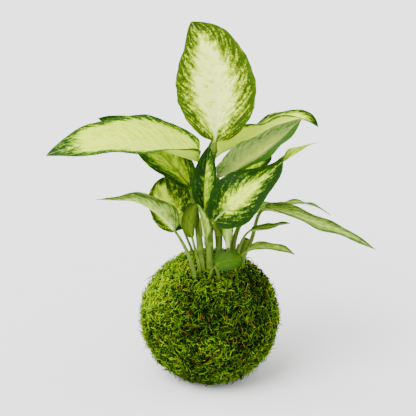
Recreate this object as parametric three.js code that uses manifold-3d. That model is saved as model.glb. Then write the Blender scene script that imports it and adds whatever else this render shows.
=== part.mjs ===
// A kokedama: a young variegated dumb cane whose root ball is wrapped in living moss.
// Millimetres, +Z up. The origin is the middle of the flat spot that the ball rests on,
// and the front of the plant faces -Y.

import * as THREE from 'three';
import { mergeVertices } from 'three/addons/utils/BufferGeometryUtils.js';
import Module from 'manifold-3d';

const wasm = await Module();
wasm.setup();

// The ball
const BALL_RADIUS = 67.5;
const BALL_HALF_HEIGHT = 66;
const FLAT_SPOT_RADIUS = 22;
const MOSS_THICKNESS = 9;
const MOSS_UNDERFOOT = 5;
const MOSS_DETAIL = 10;
const TUFT_HEIGHT = 1.9;
const LUMP_HEIGHT = 1.1;
const LUMP_WAVES = 9;
const MOSS_SEED = 7;
const SOIL_DETAIL = 3;
const BALL_CENTRE = BALL_HALF_HEIGHT * Math.sqrt(1 - (FLAT_SPOT_RADIUS / BALL_RADIUS) ** 2);

// The collar is the opening in the moss where most stalks come out, and a mound of soil fills it.
const COLLAR = { x: 6, y: -18, radiusX: 16, radiusY: 7 };
const COLLAR_SIDES = 28;
const MOUND_DEPTH = 2.5;

// Space between two pieces that touch
const GAP = 0.3;

// Leaves. Where a blade is narrower than FLAT_HALF_WIDTH each side, it folds less and less. The rib
// under it is as deep as RIB_DEPTH stalk radii at the base and fades to the tip. The waves of the two
// halves are HALF_OFFSET turns apart. BLEND_LENGTH is the share of a blade over which its round
// stalk goes flat.
const EDGE_THICKNESS = 0.8;
const TIP_HALF_WIDTH = 0.5;
const FLAT_HALF_WIDTH = 3;
const FOLD_FADE = 3;
const RIB_DEPTH = 1.5;
const RIB_FADE = 1.5;
const HALF_OFFSET = 0.37;
const BLEND_LENGTH = 0.03;
const BLEND_NARROWING = 0.8;
const END_CROWDING = 0.6;
const FINE = { across: 7, along: 13, stalk: 4 };
const COARSE = { across: 5, along: 9, stalk: 3 };
const LINE_STEPS = 40;

// How far the joints of a cane stand out, as a share of its radius
const JOINT_RIDGE = 0.06;

const COLOURS = {
  cream: 0xdde58f,
  green: 0x5a8a24,
  grey: 0x9aa96b,
  stalk: 0x8fa53a,
  moss: 0x6f8f1e,
  soil: 0x3a2a1c,
  scar: 0x8a6a3c,
};

// Each leaf is grown along one line: the points of its stalk, then those of its midrib.
// facing is the way its upper side looks at the base and at the tip. fold is how far the left and
// the right half stand up from flat, in degrees, first at the base and then over the rest.
// curl bends a half further towards its margin. waves are count, height and phase in turns.
// widest is where along the blade it is widest. Its base is rounder with a low taper[0], and its
// tip more pointed with a high taper[1].
const LEAVES = [
  {
    name: 'leaf_top', on: 'cane_main', shape: FINE, colour: 'cream',
    stalk: [[3.6, 0.2, 238.4]], radii: [2.9, 2.3],
    midrib: [[5, 2, 247], [7, 7, 268], [7, 12, 290], [3.5, 17, 314], [-4, 24, 341], [-18, 34, 361]],
    width: 79, widest: 0.42, taper: [0.6, 0.83], facing: [[0, -0.95, 0.3], [0.2, -0.9, 0.45]],
    fold: [[30, 9], [30, 9]], curl: -6, waves: [2.5, 1.8, 0.1],
  },
  {
    name: 'leaf_left_big', on: 'cane_main', shape: FINE, colour: 'cream',
    stalk: [[-1, -2, 214], [-5, -3, 223]], radii: [2.2, 1.9],
    midrib: [[-10, -3, 229.5], [-31, -5, 238], [-53, -9, 247], [-83, -13, 254], [-114, -17, 253],
      [-138, -19, 249], [-159, -20, 242]],
    width: 70, widest: 0.38, taper: [0.32, 0.85], facing: [[0, -0.3, 0.95], [0, -0.25, 0.97]],
    fold: [[75, 13], [38, 9]], curl: -4, waves: [2.5, 2.2, 0.35],
  },
  {
    name: 'leaf_left_back', on: 'root_ball', shape: FINE, colour: 'green',
    stalk: [[-7.5, -18, 106], [-8, -22, 128], [-11, -11, 158]], radii: [3.1, 2.3],
    midrib: [[-18, 5, 195], [-40, 16, 221], [-68, 26, 244], [-90, 33, 254], [-110, 36, 260]],
    width: 46, widest: 0.42, taper: [0.55, 0.9], facing: [[0.2, -0.6, 0.75], [0.1, -0.4, 0.9]],
    fold: [[35, 12], [35, 12]], curl: -5, waves: [3, 1.6, 0.2],
  },
  {
    name: 'leaf_left_round', on: 'root_ball', shape: FINE, colour: 'cream',
    stalk: [[-13, 2, 106], [-17, 7, 129], [-22, 9, 142]], radii: [1.3, 1.1],
    midrib: [[-26, 10, 152], [-35, 16, 171], [-41, 21, 184], [-45, 28, 201]],
    width: 48, widest: 0.4, taper: [0.4, 0.6], facing: [[0.1, -0.9, 0.4], [0.1, -0.9, 0.4]],
    fold: [[25, 10], [25, 10]], curl: -8, waves: [2, 1.2, 0],
  },
  {
    name: 'leaf_left_low', on: 'root_ball', shape: FINE, colour: 'grey',
    stalk: [[-14, -29, 106], [-15, -32, 123], [-21, -27, 141]], radii: [1.9, 1.4],
    midrib: [[-34, -9, 158], [-51, -11, 178], [-73, -15, 192], [-90, -18, 194.5], [-111, -22, 197]],
    width: 34, widest: 0.3, taper: [0.5, 1.3], facing: [[0.3, 0.3, 0.9], [0, 0.2, 1]],
    fold: [[80, 46], [40, 12]], curl: -6, waves: [2.5, 1.2, 0.4],
  },
  {
    name: 'leaf_olive', on: 'root_ball', shape: COARSE, colour: 'green',
    stalk: [[-11, -24, 106], [-10, -27, 126], [-14, -22, 143]], radii: [1.5, 1.2],
    midrib: [[-17, -17, 154], [-20, -13, 164], [-18, -9, 176], [-13, -6, 187]],
    width: 16, widest: 0.45, taper: [0.55, 0.7], facing: [[-0.3, -0.9, 0.3], [-0.4, -0.8, 0.4]],
    fold: [[30, 20], [30, 20]], curl: 0, waves: [1.5, 0.6, 0],
  },
  {
    name: 'leaf_centre', on: 'cane_main', shape: FINE, colour: 'green',
    stalk: [[-2.5, -17, 154], [-7, -16, 162], [-7.5, -15, 172]], radii: [2, 1.9],
    midrib: [[-5.5, -15, 183], [-5.5, -16, 200], [-4.5, -17, 218], [-2.5, -16, 236], [-0.5, -14, 250]],
    width: 25, widest: 0.4, taper: [0.55, 0.85], facing: [[-0.1, -1, 0.2], [0, -1, 0.2]],
    fold: [[40, 18], [40, 18]], curl: -10, waves: [2, 1.2, 0.3],
  },
  {
    name: 'leaf_centre_low', on: 'cane_main', shape: COARSE, colour: 'green',
    stalk: [[-1.5, -20.5, 147], [-3, -24, 151]], radii: [2, 1.9],
    midrib: [[-3.5, -25, 157], [-6, -24.5, 170], [-9, -23, 182], [-12, -22, 192]],
    width: 17, widest: 0.4, taper: [0.5, 0.8], facing: [[0.2, -0.94, 0.17], [0.2, -0.94, 0.17]],
    fold: [[75, 80], [45, 40]], curl: 0, waves: [1, 0.5, 0],
  },
  {
    name: 'leaf_sheath', on: 'root_ball', shape: COARSE, colour: 'stalk',
    stalk: [[17, -15, 106], [18, -15, 128]], radii: [1.7, 1.6],
    midrib: [[18, -16, 143.5], [17.5, -18, 155], [17, -18, 165], [16, -17, 179]],
    width: 14, widest: 0.6, taper: [0.8, 0.8], facing: [[0.1, 1, 0.1], [0.1, 1, 0.1]],
    fold: [[35, 25], [35, 25]], curl: 10, waves: [1, 0.4, 0],
  },
  {
    name: 'leaf_right_front', on: 'cane_side', shape: FINE, colour: 'cream',
    stalk: [[7.6, -13, 156.5], [6.2, -21.5, 165]], radii: [2, 1.8],
    midrib: [[4, -27.5, 174.5], [22, -35.5, 196.5], [42, -39, 216.5], [58, -39, 231], [71, -36.5, 242],
      [88, -34, 252.5], [96, -33, 257.5], [104, -32, 260]],
    width: 53, widest: 0.3, taper: [0.7, 2.8], facing: [[-0.25, -0.75, 0.6], [-0.4, 0.6, 0.7]],
    fold: [[70, -12], [20, 0]], curl: -8, waves: [2.5, 1.8, 0.15],
  },
  {
    name: 'leaf_right_grey', on: 'cane_side', shape: FINE, colour: 'grey',
    stalk: [[8.4, -8.5, 208.9]], radii: [2.6, 1.9],
    midrib: [[8, -9, 215.5], [22, -11, 222.6], [35, -12, 233], [60, -14, 253], [75, -14, 264.5],
      [89, -12, 277]],
    width: 52, widest: 0.42, taper: [0.5, 0.75], facing: [[-0.3, 0.75, 0.6], [-0.3, 0.7, 0.65]],
    fold: [[25, 10], [25, 10]], curl: -6, waves: [2.5, 1.5, 0.25],
  },
  {
    name: 'leaf_right_back', on: 'cane_main', shape: FINE, colour: 'cream',
    stalk: [[2, -1, 206], [3, 9, 214]], radii: [2, 1.8],
    midrib: [[2, 16, 223], [12, 21, 231], [31, 24, 237], [58, 27, 250], [81, 27, 261], [95, 25, 261.5],
      [107, 22, 256]],
    width: 48, widest: 0.42, taper: [0.45, 0.75], facing: [[-0.2, 0.55, 1], [0.1, 0, 1]],
    fold: [[43, 37], [69, 26]], curl: -6, waves: [3, 2, 0.1],
  },
  {
    name: 'leaf_right_hidden', on: 'cane_side', shape: FINE, colour: 'green',
    stalk: [[7.6, -7, 190], [12, -3, 199]], radii: [1.9, 1.6],
    midrib: [[17, 6, 207], [30, 14, 217], [45, 18.5, 222.5], [61.5, 21, 225.5]],
    width: 31, widest: 0.45, taper: [0.5, 0.6], facing: [[-0.2, -0.7, 0.65], [-0.2, -0.7, 0.65]],
    fold: [[20, 8], [20, 8]], curl: -5, waves: [2, 1, 0.5],
  },
  {
    name: 'leaf_right_long', on: 'root_ball', shape: FINE, colour: 'green',
    stalk: [[31, -4, 106], [33, -8, 128], [41.5, -10, 150]], radii: [2.2, 1.7],
    midrib: [[52, -8, 180], [74, -12, 179], [107, -18, 169], [135, -24, 161], [163, -30, 147]],
    width: 28, widest: 0.35, taper: [0.5, 0.9], facing: [[-0.2, 0, 1], [0.2, -0.05, 1]],
    fold: [[40, 5], [40, 5]], curl: -6, waves: [3, 1, 0.2],
  },
  {
    name: 'leaf_right_wavy', on: 'root_ball', shape: FINE, colour: 'green',
    stalk: [[22, -6, 106], [22, -4, 128], [25, -4, 149]], radii: [3.2, 2.2],
    midrib: [[31, -1, 163], [47, 8, 173], [65, 12, 176], [89, 18, 177], [107, 22, 171], [121, 25, 161]],
    width: 24, widest: 0.3, taper: [0.5, 0.9], facing: [[-0.2, 0.3, 1], [0.2, 0.3, 1]],
    fold: [[40, 10], [40, 10]], curl: -4, waves: [3, 1.8, 0],
  },
  {
    name: 'leaf_right_small', on: 'root_ball', shape: COARSE, colour: 'green',
    stalk: [[27, -10, 106], [28, -12, 129], [31, -18, 150]], radii: [1.3, 1.1],
    midrib: [[40, -22, 164], [49, -24, 166], [60, -26, 168], [70, -26, 172], [79, -25, 173]],
    width: 17, widest: 0.4, taper: [0.6, 0.8], facing: [[-0.2, 0.1, 1], [0, 0.1, 1]],
    fold: [[35, 15], [35, 15]], curl: 0, waves: [2, 0.8, 0],
  },
  {
    name: 'leaf_right_low', on: 'root_ball', shape: COARSE, colour: 'green',
    stalk: [[25, -18, 106], [27, -20, 128]], radii: [1.4, 1.2],
    midrib: [[35, -20, 140], [46, -21, 145], [58, -22, 146], [72, -24, 145], [84, -26, 140]],
    width: 16, widest: 0.4, taper: [0.6, 0.8], facing: [[-0.2, -0.1, 1], [0.2, -0.1, 1]],
    fold: [[35, 8], [35, 8]], curl: 0, waves: [2, 0.8, 0.3],
  },
  {
    name: 'leaf_front_small', on: 'root_ball', shape: COARSE, colour: 'green',
    stalk: [[9.5, -31, 106], [8.5, -36, 124]], radii: [1.6, 1.3],
    midrib: [[6, -39, 134], [13, -41.5, 139], [23, -42, 141], [32.5, -39, 141.5]],
    width: 20, widest: 0.45, taper: [0.45, 0.5], facing: [[-0.1, -0.8, 0.6], [0, -0.7, 0.7]],
    fold: [[15, 8], [15, 8]], curl: -12, waves: [1, 0.5, 0],
  },
];

// Canes stand in the root ball. radii run from foot to top, and joints are the rings that fallen
// leaves have left.
const CANES = [
  {
    name: 'cane_main', colour: 'stalk', sides: 6, rings: 20, joints: 6,
    path: [[0.5, -20, 104], [0.6, -23.5, 128], [-0.5, -19, 153], [-0.3, -13, 170], [-1, -5, 195],
      [1, -1, 215], [3.5, 0, 238]],
    radii: [2.8, 3.8, 4.8, 4, 3.1],
  },
  {
    name: 'cane_side', colour: 'stalk', sides: 5, rings: 18, joints: 4,
    path: [[8.6, -19, 104], [9.4, -20.5, 128], [8.8, -12, 160], [6.5, -8.5, 190], [8.4, -8.5, 208.6]],
    radii: [2.7, 3.1, 3, 2.8],
  },
  {
    name: 'cane_cut', colour: 'scar', sides: 5, rings: 6, joints: 2,
    path: [[29, 3, 108], [30, 2, 127], [37, 2, 145]],
    radii: [2.4, 2.8, 2.8, 3],
  },
  {
    name: 'cane_cut_short', colour: 'scar', sides: 4, rings: 5, joints: 1,
    path: [[25, 5, 108], [26, 5, 126], [29, 4, 138]],
    radii: [1.3, 1.5, 1.4, 1.5],
  },
  {
    name: 'shoot_new', colour: 'stalk', sides: 4, rings: 7, joints: 0,
    path: [[0, -29, 108], [0.8, -31.5, 120], [2.2, -33.5, 126], [4.5, -35.5, 130]],
    radii: [2, 2.2, 1.6, 0.5],
  },
];

const vector = ([x, y, z]) => new THREE.Vector3(x, y, z);

function seededRandom(seed) {
  let state = seed;
  return () => {
    state = (Math.imul(state, 1664525) + 1013904223) >>> 0;
    return state / 2 ** 32;
  };
}

function smooth(value) {
  const held = THREE.MathUtils.clamp(value, 0, 1);
  return held * held * (3 - 2 * held);
}

// Joins closed rings of points into one closed skin. Points run over the upper side from left to
// right and back under it. Each four-sided patch is split along the same diagonal above and below.
function loft(rings) {
  const around = rings[0].length;
  const half = around / 2;
  const opposite = (j) => around - 1 - j;
  const rising = (j) => (j < half ? j >= (half - 1) / 2 : opposite(j) - 1 < (half - 1) / 2);
  const triangles = [];
  for (let i = 0; i < rings.length - 1; i += 1) {
    for (let j = 0; j < around; j += 1) {
      const a = i * around + j;
      const b = i * around + ((j + 1) % around);
      const c = b + around;
      const d = a + around;
      triangles.push(...(rising(j) ? [a, b, c, a, c, d] : [a, b, d, b, c, d]));
    }
  }
  const last = (rings.length - 1) * around;
  for (let k = 0; k < half - 1; k += 1) {
    const under = opposite(k);
    triangles.push(k, under, under - 1, k, under - 1, k + 1);
    triangles.push(last + k, last + under - 1, last + under, last + k, last + k + 1, last + under - 1);
  }
  const geometry = new THREE.BufferGeometry().setFromPoints(rings.flat());
  geometry.setIndex(triangles);
  return geometry;
}

// A round ring of 2 * count points about a centre, in the order that loft takes
function roundRing(centre, side, up, radius, count) {
  const ring = [];
  for (let k = 0; k < 2 * count; k += 1) {
    const angle = Math.PI * (1 - (k + 0.5) / count);
    ring.push(centre.clone()
      .addScaledVector(side, radius * Math.cos(angle))
      .addScaledVector(up, radius * Math.sin(angle)));
  }
  return ring;
}

// The line of a leaf, with its stalk's length and its whole length
function leafLine(leaf) {
  const points = [...leaf.stalk, ...leaf.midrib].map(vector);
  const curve = new THREE.CatmullRomCurve3(points);
  curve.arcLengthDivisions = (points.length - 1) * LINE_STEPS;
  const lengths = curve.getLengths();
  return { curve, stalkLength: lengths[leaf.stalk.length * LINE_STEPS], length: lengths.at(-1) };
}

// Where the line is at a length along it, with the directions to its right and up from its face
function frameAt(leaf, line, distance, turned) {
  const share = THREE.MathUtils.clamp(distance / line.length, 0, 1);
  const centre = line.curve.getPointAt(share);
  const forward = line.curve.getTangentAt(share);
  const face = vector(leaf.facing[0]).normalize().lerp(vector(leaf.facing[1]).normalize(), turned);
  const side = forward.clone().cross(face).normalize();
  const up = side.clone().cross(forward).normalize();
  return { centre, forward, side, up };
}

// Half the width of a blade: a power of one minus the square of the way from the widest place to
// the base or to the tip. A power of a half would be an ellipse.
function halfWidth(leaf, t) {
  const away = t < leaf.widest ? 1 - t / leaf.widest : (t - leaf.widest) / (1 - leaf.widest);
  const share = (1 - away ** 2) ** leaf.taper[t < leaf.widest ? 0 : 1];
  return Math.max(leaf.width / 2 * share, TIP_HALF_WIDTH);
}

// The middle layer of a blade at t along it and u across it, and the way its upper side looks there
function bladePoint(leaf, frame, t, u) {
  const [first, rest] = leaf.fold[u < 0 ? 0 : 1];
  const half = halfWidth(leaf, t);
  const fold = (rest + (first - rest) * (1 - t) ** FOLD_FADE) * Math.min(1, half / FLAT_HALF_WIDTH);
  const reach = half * Math.abs(u);
  const lean = THREE.MathUtils.degToRad(fold + leaf.curl * Math.abs(u) / 2);
  const [count, height, phase] = leaf.waves;
  const turn = 2 * Math.PI * (count * t + phase + (u < 0 ? HALF_OFFSET : 0));
  const wave = height * Math.abs(u) ** 2 * Math.sin(turn) * Math.sin(Math.PI * t);
  const point = frame.centre.clone()
    .addScaledVector(frame.side, Math.sign(u) * reach * Math.cos(lean))
    .addScaledVector(frame.up, reach * Math.sin(lean) + wave);
  const tilt = u === 0 ? 0 : THREE.MathUtils.degToRad(fold + leaf.curl * Math.abs(u));
  const normal = frame.up.clone().multiplyScalar(Math.cos(tilt))
    .addScaledVector(frame.side, -Math.sign(u) * Math.sin(tilt));
  return { point, normal };
}

function bladeRing(leaf, line, t) {
  const distance = line.stalkLength + t * (line.length - line.stalkLength);
  const frame = frameAt(leaf, line, distance, t ** 2);
  const count = leaf.shape.across;
  const stalkRadius = leaf.radii[1];
  const radius = stalkRadius * (1 - BLEND_NARROWING * t);
  const round = roundRing(frame.centre, frame.side, frame.up, radius, count);
  const flat = new Array(2 * count);
  for (let k = 0; k < count; k += 1) {
    const u = 2 * k / (count - 1) - 1;
    const { point, normal } = bladePoint(leaf, frame, t, u);
    const rib = u === 0 ? RIB_DEPTH * stalkRadius * (1 - t) ** RIB_FADE : 0;
    flat[k] = point.clone().addScaledVector(normal, EDGE_THICKNESS / 2);
    flat[2 * count - 1 - k] = point.clone().addScaledVector(normal, -EDGE_THICKNESS / 2 - rib);
  }
  const share = smooth(t / BLEND_LENGTH);
  return round.map((point, j) => point.lerp(flat[j], share));
}

// The rings of a stalk. grow makes it thicker all round and longer at its foot, for its socket.
function stalkRings(leaf, line, grow) {
  const rings = [];
  const steps = leaf.shape.stalk;
  const [foot, top] = leaf.radii;
  for (let i = 0; i <= steps; i += 1) {
    const frame = frameAt(leaf, line, i / steps * line.stalkLength, 0);
    const radius = THREE.MathUtils.lerp(foot, top, i / steps) + grow;
    if (i === 0) frame.centre.addScaledVector(frame.forward, -grow);
    rings.push(roundRing(frame.centre, frame.side, frame.up, radius, leaf.shape.across));
  }
  return rings;
}

// Moves evenly spaced steps towards both ends, where the outline of a blade turns fastest
function crowded(step) {
  const cosine = (1 - Math.cos(Math.PI * step)) / 2;
  return THREE.MathUtils.lerp(step, cosine, END_CROWDING);
}

function leafGeometry(leaf) {
  const line = leafLine(leaf);
  const rings = stalkRings(leaf, line, 0).slice(0, -1);
  for (let i = 0; i <= leaf.shape.along; i += 1) {
    rings.push(bladeRing(leaf, line, crowded(i / leaf.shape.along)));
  }
  return loft(rings);
}

function stalkSocket(leaf) {
  return loft(stalkRings(leaf, leafLine(leaf), GAP));
}

// A value that runs through a list of values, evenly spaced from 0 to 1
function along(values, share) {
  const place = share * (values.length - 1);
  const index = Math.min(Math.floor(place), values.length - 2);
  return THREE.MathUtils.lerp(values[index], values[index + 1], place - index);
}

function caneRings(cane, grow) {
  const curve = new THREE.CatmullRomCurve3(cane.path.map(vector));
  const rings = [];
  for (let i = 0; i <= cane.rings; i += 1) {
    const share = i / cane.rings;
    const centre = curve.getPointAt(share);
    const forward = curve.getTangentAt(share);
    const side = forward.clone().cross(new THREE.Vector3(0, -1, 0)).normalize();
    const up = side.clone().cross(forward).normalize();
    const ridge = JOINT_RIDGE * Math.cos(2 * Math.PI * cane.joints * share);
    const radius = along(cane.radii, share) * (1 + ridge) + grow;
    if (grow > 0 && i === 0) centre.addScaledVector(forward, -grow);
    rings.push(roundRing(centre, side, up, radius, cane.sides));
  }
  return rings;
}

function solid(geometry) {
  const bare = geometry.clone();
  bare.deleteAttribute('normal');
  bare.deleteAttribute('uv');
  const merged = mergeVertices(bare);
  return new wasm.Manifold(new wasm.Mesh({
    numProp: 3,
    vertProperties: merged.attributes.position.array,
    triVerts: new Uint32Array(merged.index.array),
  }));
}

function geometryOf(manifold) {
  const mesh = manifold.getMesh();
  const geometry = new THREE.BufferGeometry();
  geometry.setAttribute('position', new THREE.BufferAttribute(mesh.vertProperties, 3));
  geometry.setIndex(new THREE.BufferAttribute(mesh.triVerts, 1));
  return geometry;
}

// A ball squeezed to the height of this one, less a depth all round, and cut flat at a height
function squeezedBall(depth, detail, bottom) {
  const ball = new THREE.IcosahedronGeometry(1, detail);
  ball.scale(BALL_RADIUS - depth, BALL_RADIUS - depth, BALL_HALF_HEIGHT - depth);
  ball.translate(0, 0, BALL_CENTRE);
  return solid(ball).subtract(blockBelow(bottom));
}

function blockBelow(height) {
  const size = 4 * BALL_RADIUS;
  return solid(new THREE.BoxGeometry(size, size, size).translate(0, 0, height - size / 2));
}

// The moss surface: every point of the ball is pushed in or out by a slow lump, the product of
// three sines, and by a tuft height drawn at random.
function mossOutside() {
  const random = seededRandom(MOSS_SEED);
  const bare = new THREE.IcosahedronGeometry(1, MOSS_DETAIL);
  bare.deleteAttribute('normal');
  bare.deleteAttribute('uv');
  const ball = mergeVertices(bare);
  const place = ball.attributes.position;
  for (let i = 0; i < place.count; i += 1) {
    const point = new THREE.Vector3().fromBufferAttribute(place, i);
    const turned = point.clone().multiplyScalar(LUMP_WAVES);
    const lump = Math.sin(turned.x) * Math.sin(turned.y + 1) * Math.sin(turned.z + 2);
    const rise = LUMP_HEIGHT * lump + TUFT_HEIGHT * (2 * random() - 1);
    point.x *= BALL_RADIUS + rise;
    point.y *= BALL_RADIUS + rise;
    point.z = BALL_CENTRE + point.z * (BALL_HALF_HEIGHT + rise);
    place.setXYZ(i, point.x, point.y, point.z);
  }
  return solid(ball).subtract(blockBelow(0));
}

// An upright oval plug through the top of the moss, less a margin all round
function collarPlug(margin) {
  const height = BALL_RADIUS;
  const plug = new THREE.CylinderGeometry(1, 1, height, COLLAR_SIDES);
  plug.rotateX(Math.PI / 2);
  plug.scale(COLLAR.radiusX - margin, COLLAR.radiusY - margin, 1);
  plug.translate(COLLAR.x, COLLAR.y, BALL_CENTRE + height);
  return solid(plug);
}

function rootBall(stems) {
  const mound = squeezedBall(MOUND_DEPTH, SOIL_DETAIL, BALL_CENTRE).intersect(collarPlug(GAP));
  const ball = squeezedBall(MOSS_THICKNESS, SOIL_DETAIL, MOSS_UNDERFOOT).add(mound);
  return stems.reduce((rest, stem) => rest.subtract(stem), ball);
}

function mossWrap(stems) {
  const inside = squeezedBall(MOSS_THICKNESS - GAP, SOIL_DETAIL, MOSS_UNDERFOOT - GAP);
  const wrap = mossOutside().subtract(inside).subtract(collarPlug(0));
  const pierced = stems.reduce((rest, stem) => rest.subtract(stem), wrap);
  return pierced.decompose().sort((a, b) => b.volume() - a.volume())[0];
}

function caneGeometry(cane) {
  const sockets = LEAVES.filter((leaf) => leaf.on === cane.name).map((leaf) => solid(stalkSocket(leaf)));
  const bare = loft(caneRings(cane, 0));
  return geometryOf(sockets.reduce((rest, socket) => rest.subtract(socket), solid(bare)));
}

function piece(name, geometry, colour, roughness) {
  const material = new THREE.MeshStandardMaterial({ color: COLOURS[colour], roughness, metalness: 0 });
  const mesh = new THREE.Mesh(geometry, material);
  mesh.name = name;
  return mesh;
}

const rooted = [
  ...CANES.map((cane) => solid(loft(caneRings(cane, GAP)))),
  ...LEAVES.filter((leaf) => leaf.on === 'root_ball').map((leaf) => solid(stalkSocket(leaf))),
];

const kokedama = new THREE.Group();
kokedama.add(piece('root_ball', geometryOf(rootBall(rooted)), 'soil', 1));
kokedama.add(piece('moss_wrap', geometryOf(mossWrap(rooted)), 'moss', 1));
CANES.forEach((cane) => kokedama.add(piece(cane.name, caneGeometry(cane), cane.colour, 0.5)));
LEAVES.forEach((leaf) => kokedama.add(piece(leaf.name, leafGeometry(leaf), leaf.colour, 0.45)));

export default kokedama;
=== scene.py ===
"""A kokedama: a young variegated dumb cane whose root ball is wrapped in living moss.

The scene is in metres, +Z up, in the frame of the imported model: the origin is the middle of the
flat spot that the ball rests on, and the front of the plant faces -Y. The plant's own values are in
millimetres, and each of its meshes is scaled to metres once, when it is made.
"""

import logging
import math
from dataclasses import dataclass, field
from enum import Enum

import bpy
import numpy as np
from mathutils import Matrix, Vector


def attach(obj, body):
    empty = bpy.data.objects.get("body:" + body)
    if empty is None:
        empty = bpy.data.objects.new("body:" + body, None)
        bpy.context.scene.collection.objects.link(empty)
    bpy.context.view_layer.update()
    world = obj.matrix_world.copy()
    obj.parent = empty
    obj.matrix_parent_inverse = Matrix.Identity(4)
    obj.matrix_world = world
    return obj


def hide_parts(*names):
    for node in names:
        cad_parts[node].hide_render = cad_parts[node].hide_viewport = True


logging.basicConfig(level=logging.INFO, format="%(name)s: %(message)s")
LOG = logging.getLogger("kokedama")

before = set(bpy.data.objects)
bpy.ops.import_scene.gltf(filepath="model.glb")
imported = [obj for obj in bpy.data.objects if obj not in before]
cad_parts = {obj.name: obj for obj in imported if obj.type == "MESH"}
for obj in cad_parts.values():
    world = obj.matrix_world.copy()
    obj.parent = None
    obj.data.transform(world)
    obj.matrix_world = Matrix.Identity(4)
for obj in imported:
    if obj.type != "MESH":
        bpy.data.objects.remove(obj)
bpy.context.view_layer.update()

Point = tuple[float, float, float]
Pair = tuple[float, float]

MM = 0.001
BODY = "root"

# The mean outside of the moss ball. Its centre is as high as leaves the flat spot on the floor.
BALL_RADIUS = 67.5
BALL_HALF_HEIGHT = 66.0
FLAT_SPOT_RADIUS = 22.0
BALL_CENTRE = BALL_HALF_HEIGHT * math.sqrt(1 - (FLAT_SPOT_RADIUS / BALL_RADIUS) ** 2)
BALL_TOP = BALL_CENTRE + BALL_HALF_HEIGHT


def linear(code: str) -> tuple[float, float, float, float]:
    """Turns a screen colour into the linear one that shaders take.

    Each part is divided by 12.92 where it is dark, and otherwise a power of 2.4 is taken.

    Args:
        code: Six hexadecimal digits.

    Returns:
        Red, green, blue and an alpha of one.
    """
    parts = [int(code[i : i + 2], 16) / 255 for i in (0, 2, 4)]
    red, green, blue = (
        part / 12.92 if part <= 0.04045 else ((part + 0.055) / 1.055) ** 2.4 for part in parts
    )
    return (red, green, blue, 1.0)


def smooth(value: np.ndarray) -> np.ndarray:
    """Eases a value from 0 to 1 with no slope at either end.

    Args:
        value: Any array. It is held between 0 and 1 first.

    Returns:
        Three times the square less twice the cube of each value.
    """
    held = np.clip(value, 0, 1)
    return held * held * (3 - 2 * held)


def unit(vectors: np.ndarray) -> np.ndarray:
    """Scales vectors to a length of one.

    Args:
        vectors: An array whose last axis holds x, y and z.

    Returns:
        The same directions, each one long.
    """
    return vectors / np.linalg.norm(vectors, axis=-1, keepdims=True)


@dataclass(frozen=True)
class Pattern:
    """A soft random pattern.

    Attributes:
        scale: How many times finer than its vector the pattern is.
        detail: How many finer layers are added to it.
        rough: How strong each finer layer is beside the last.
    """

    scale: float
    detail: float = 2.0
    rough: float = 0.5


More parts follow.
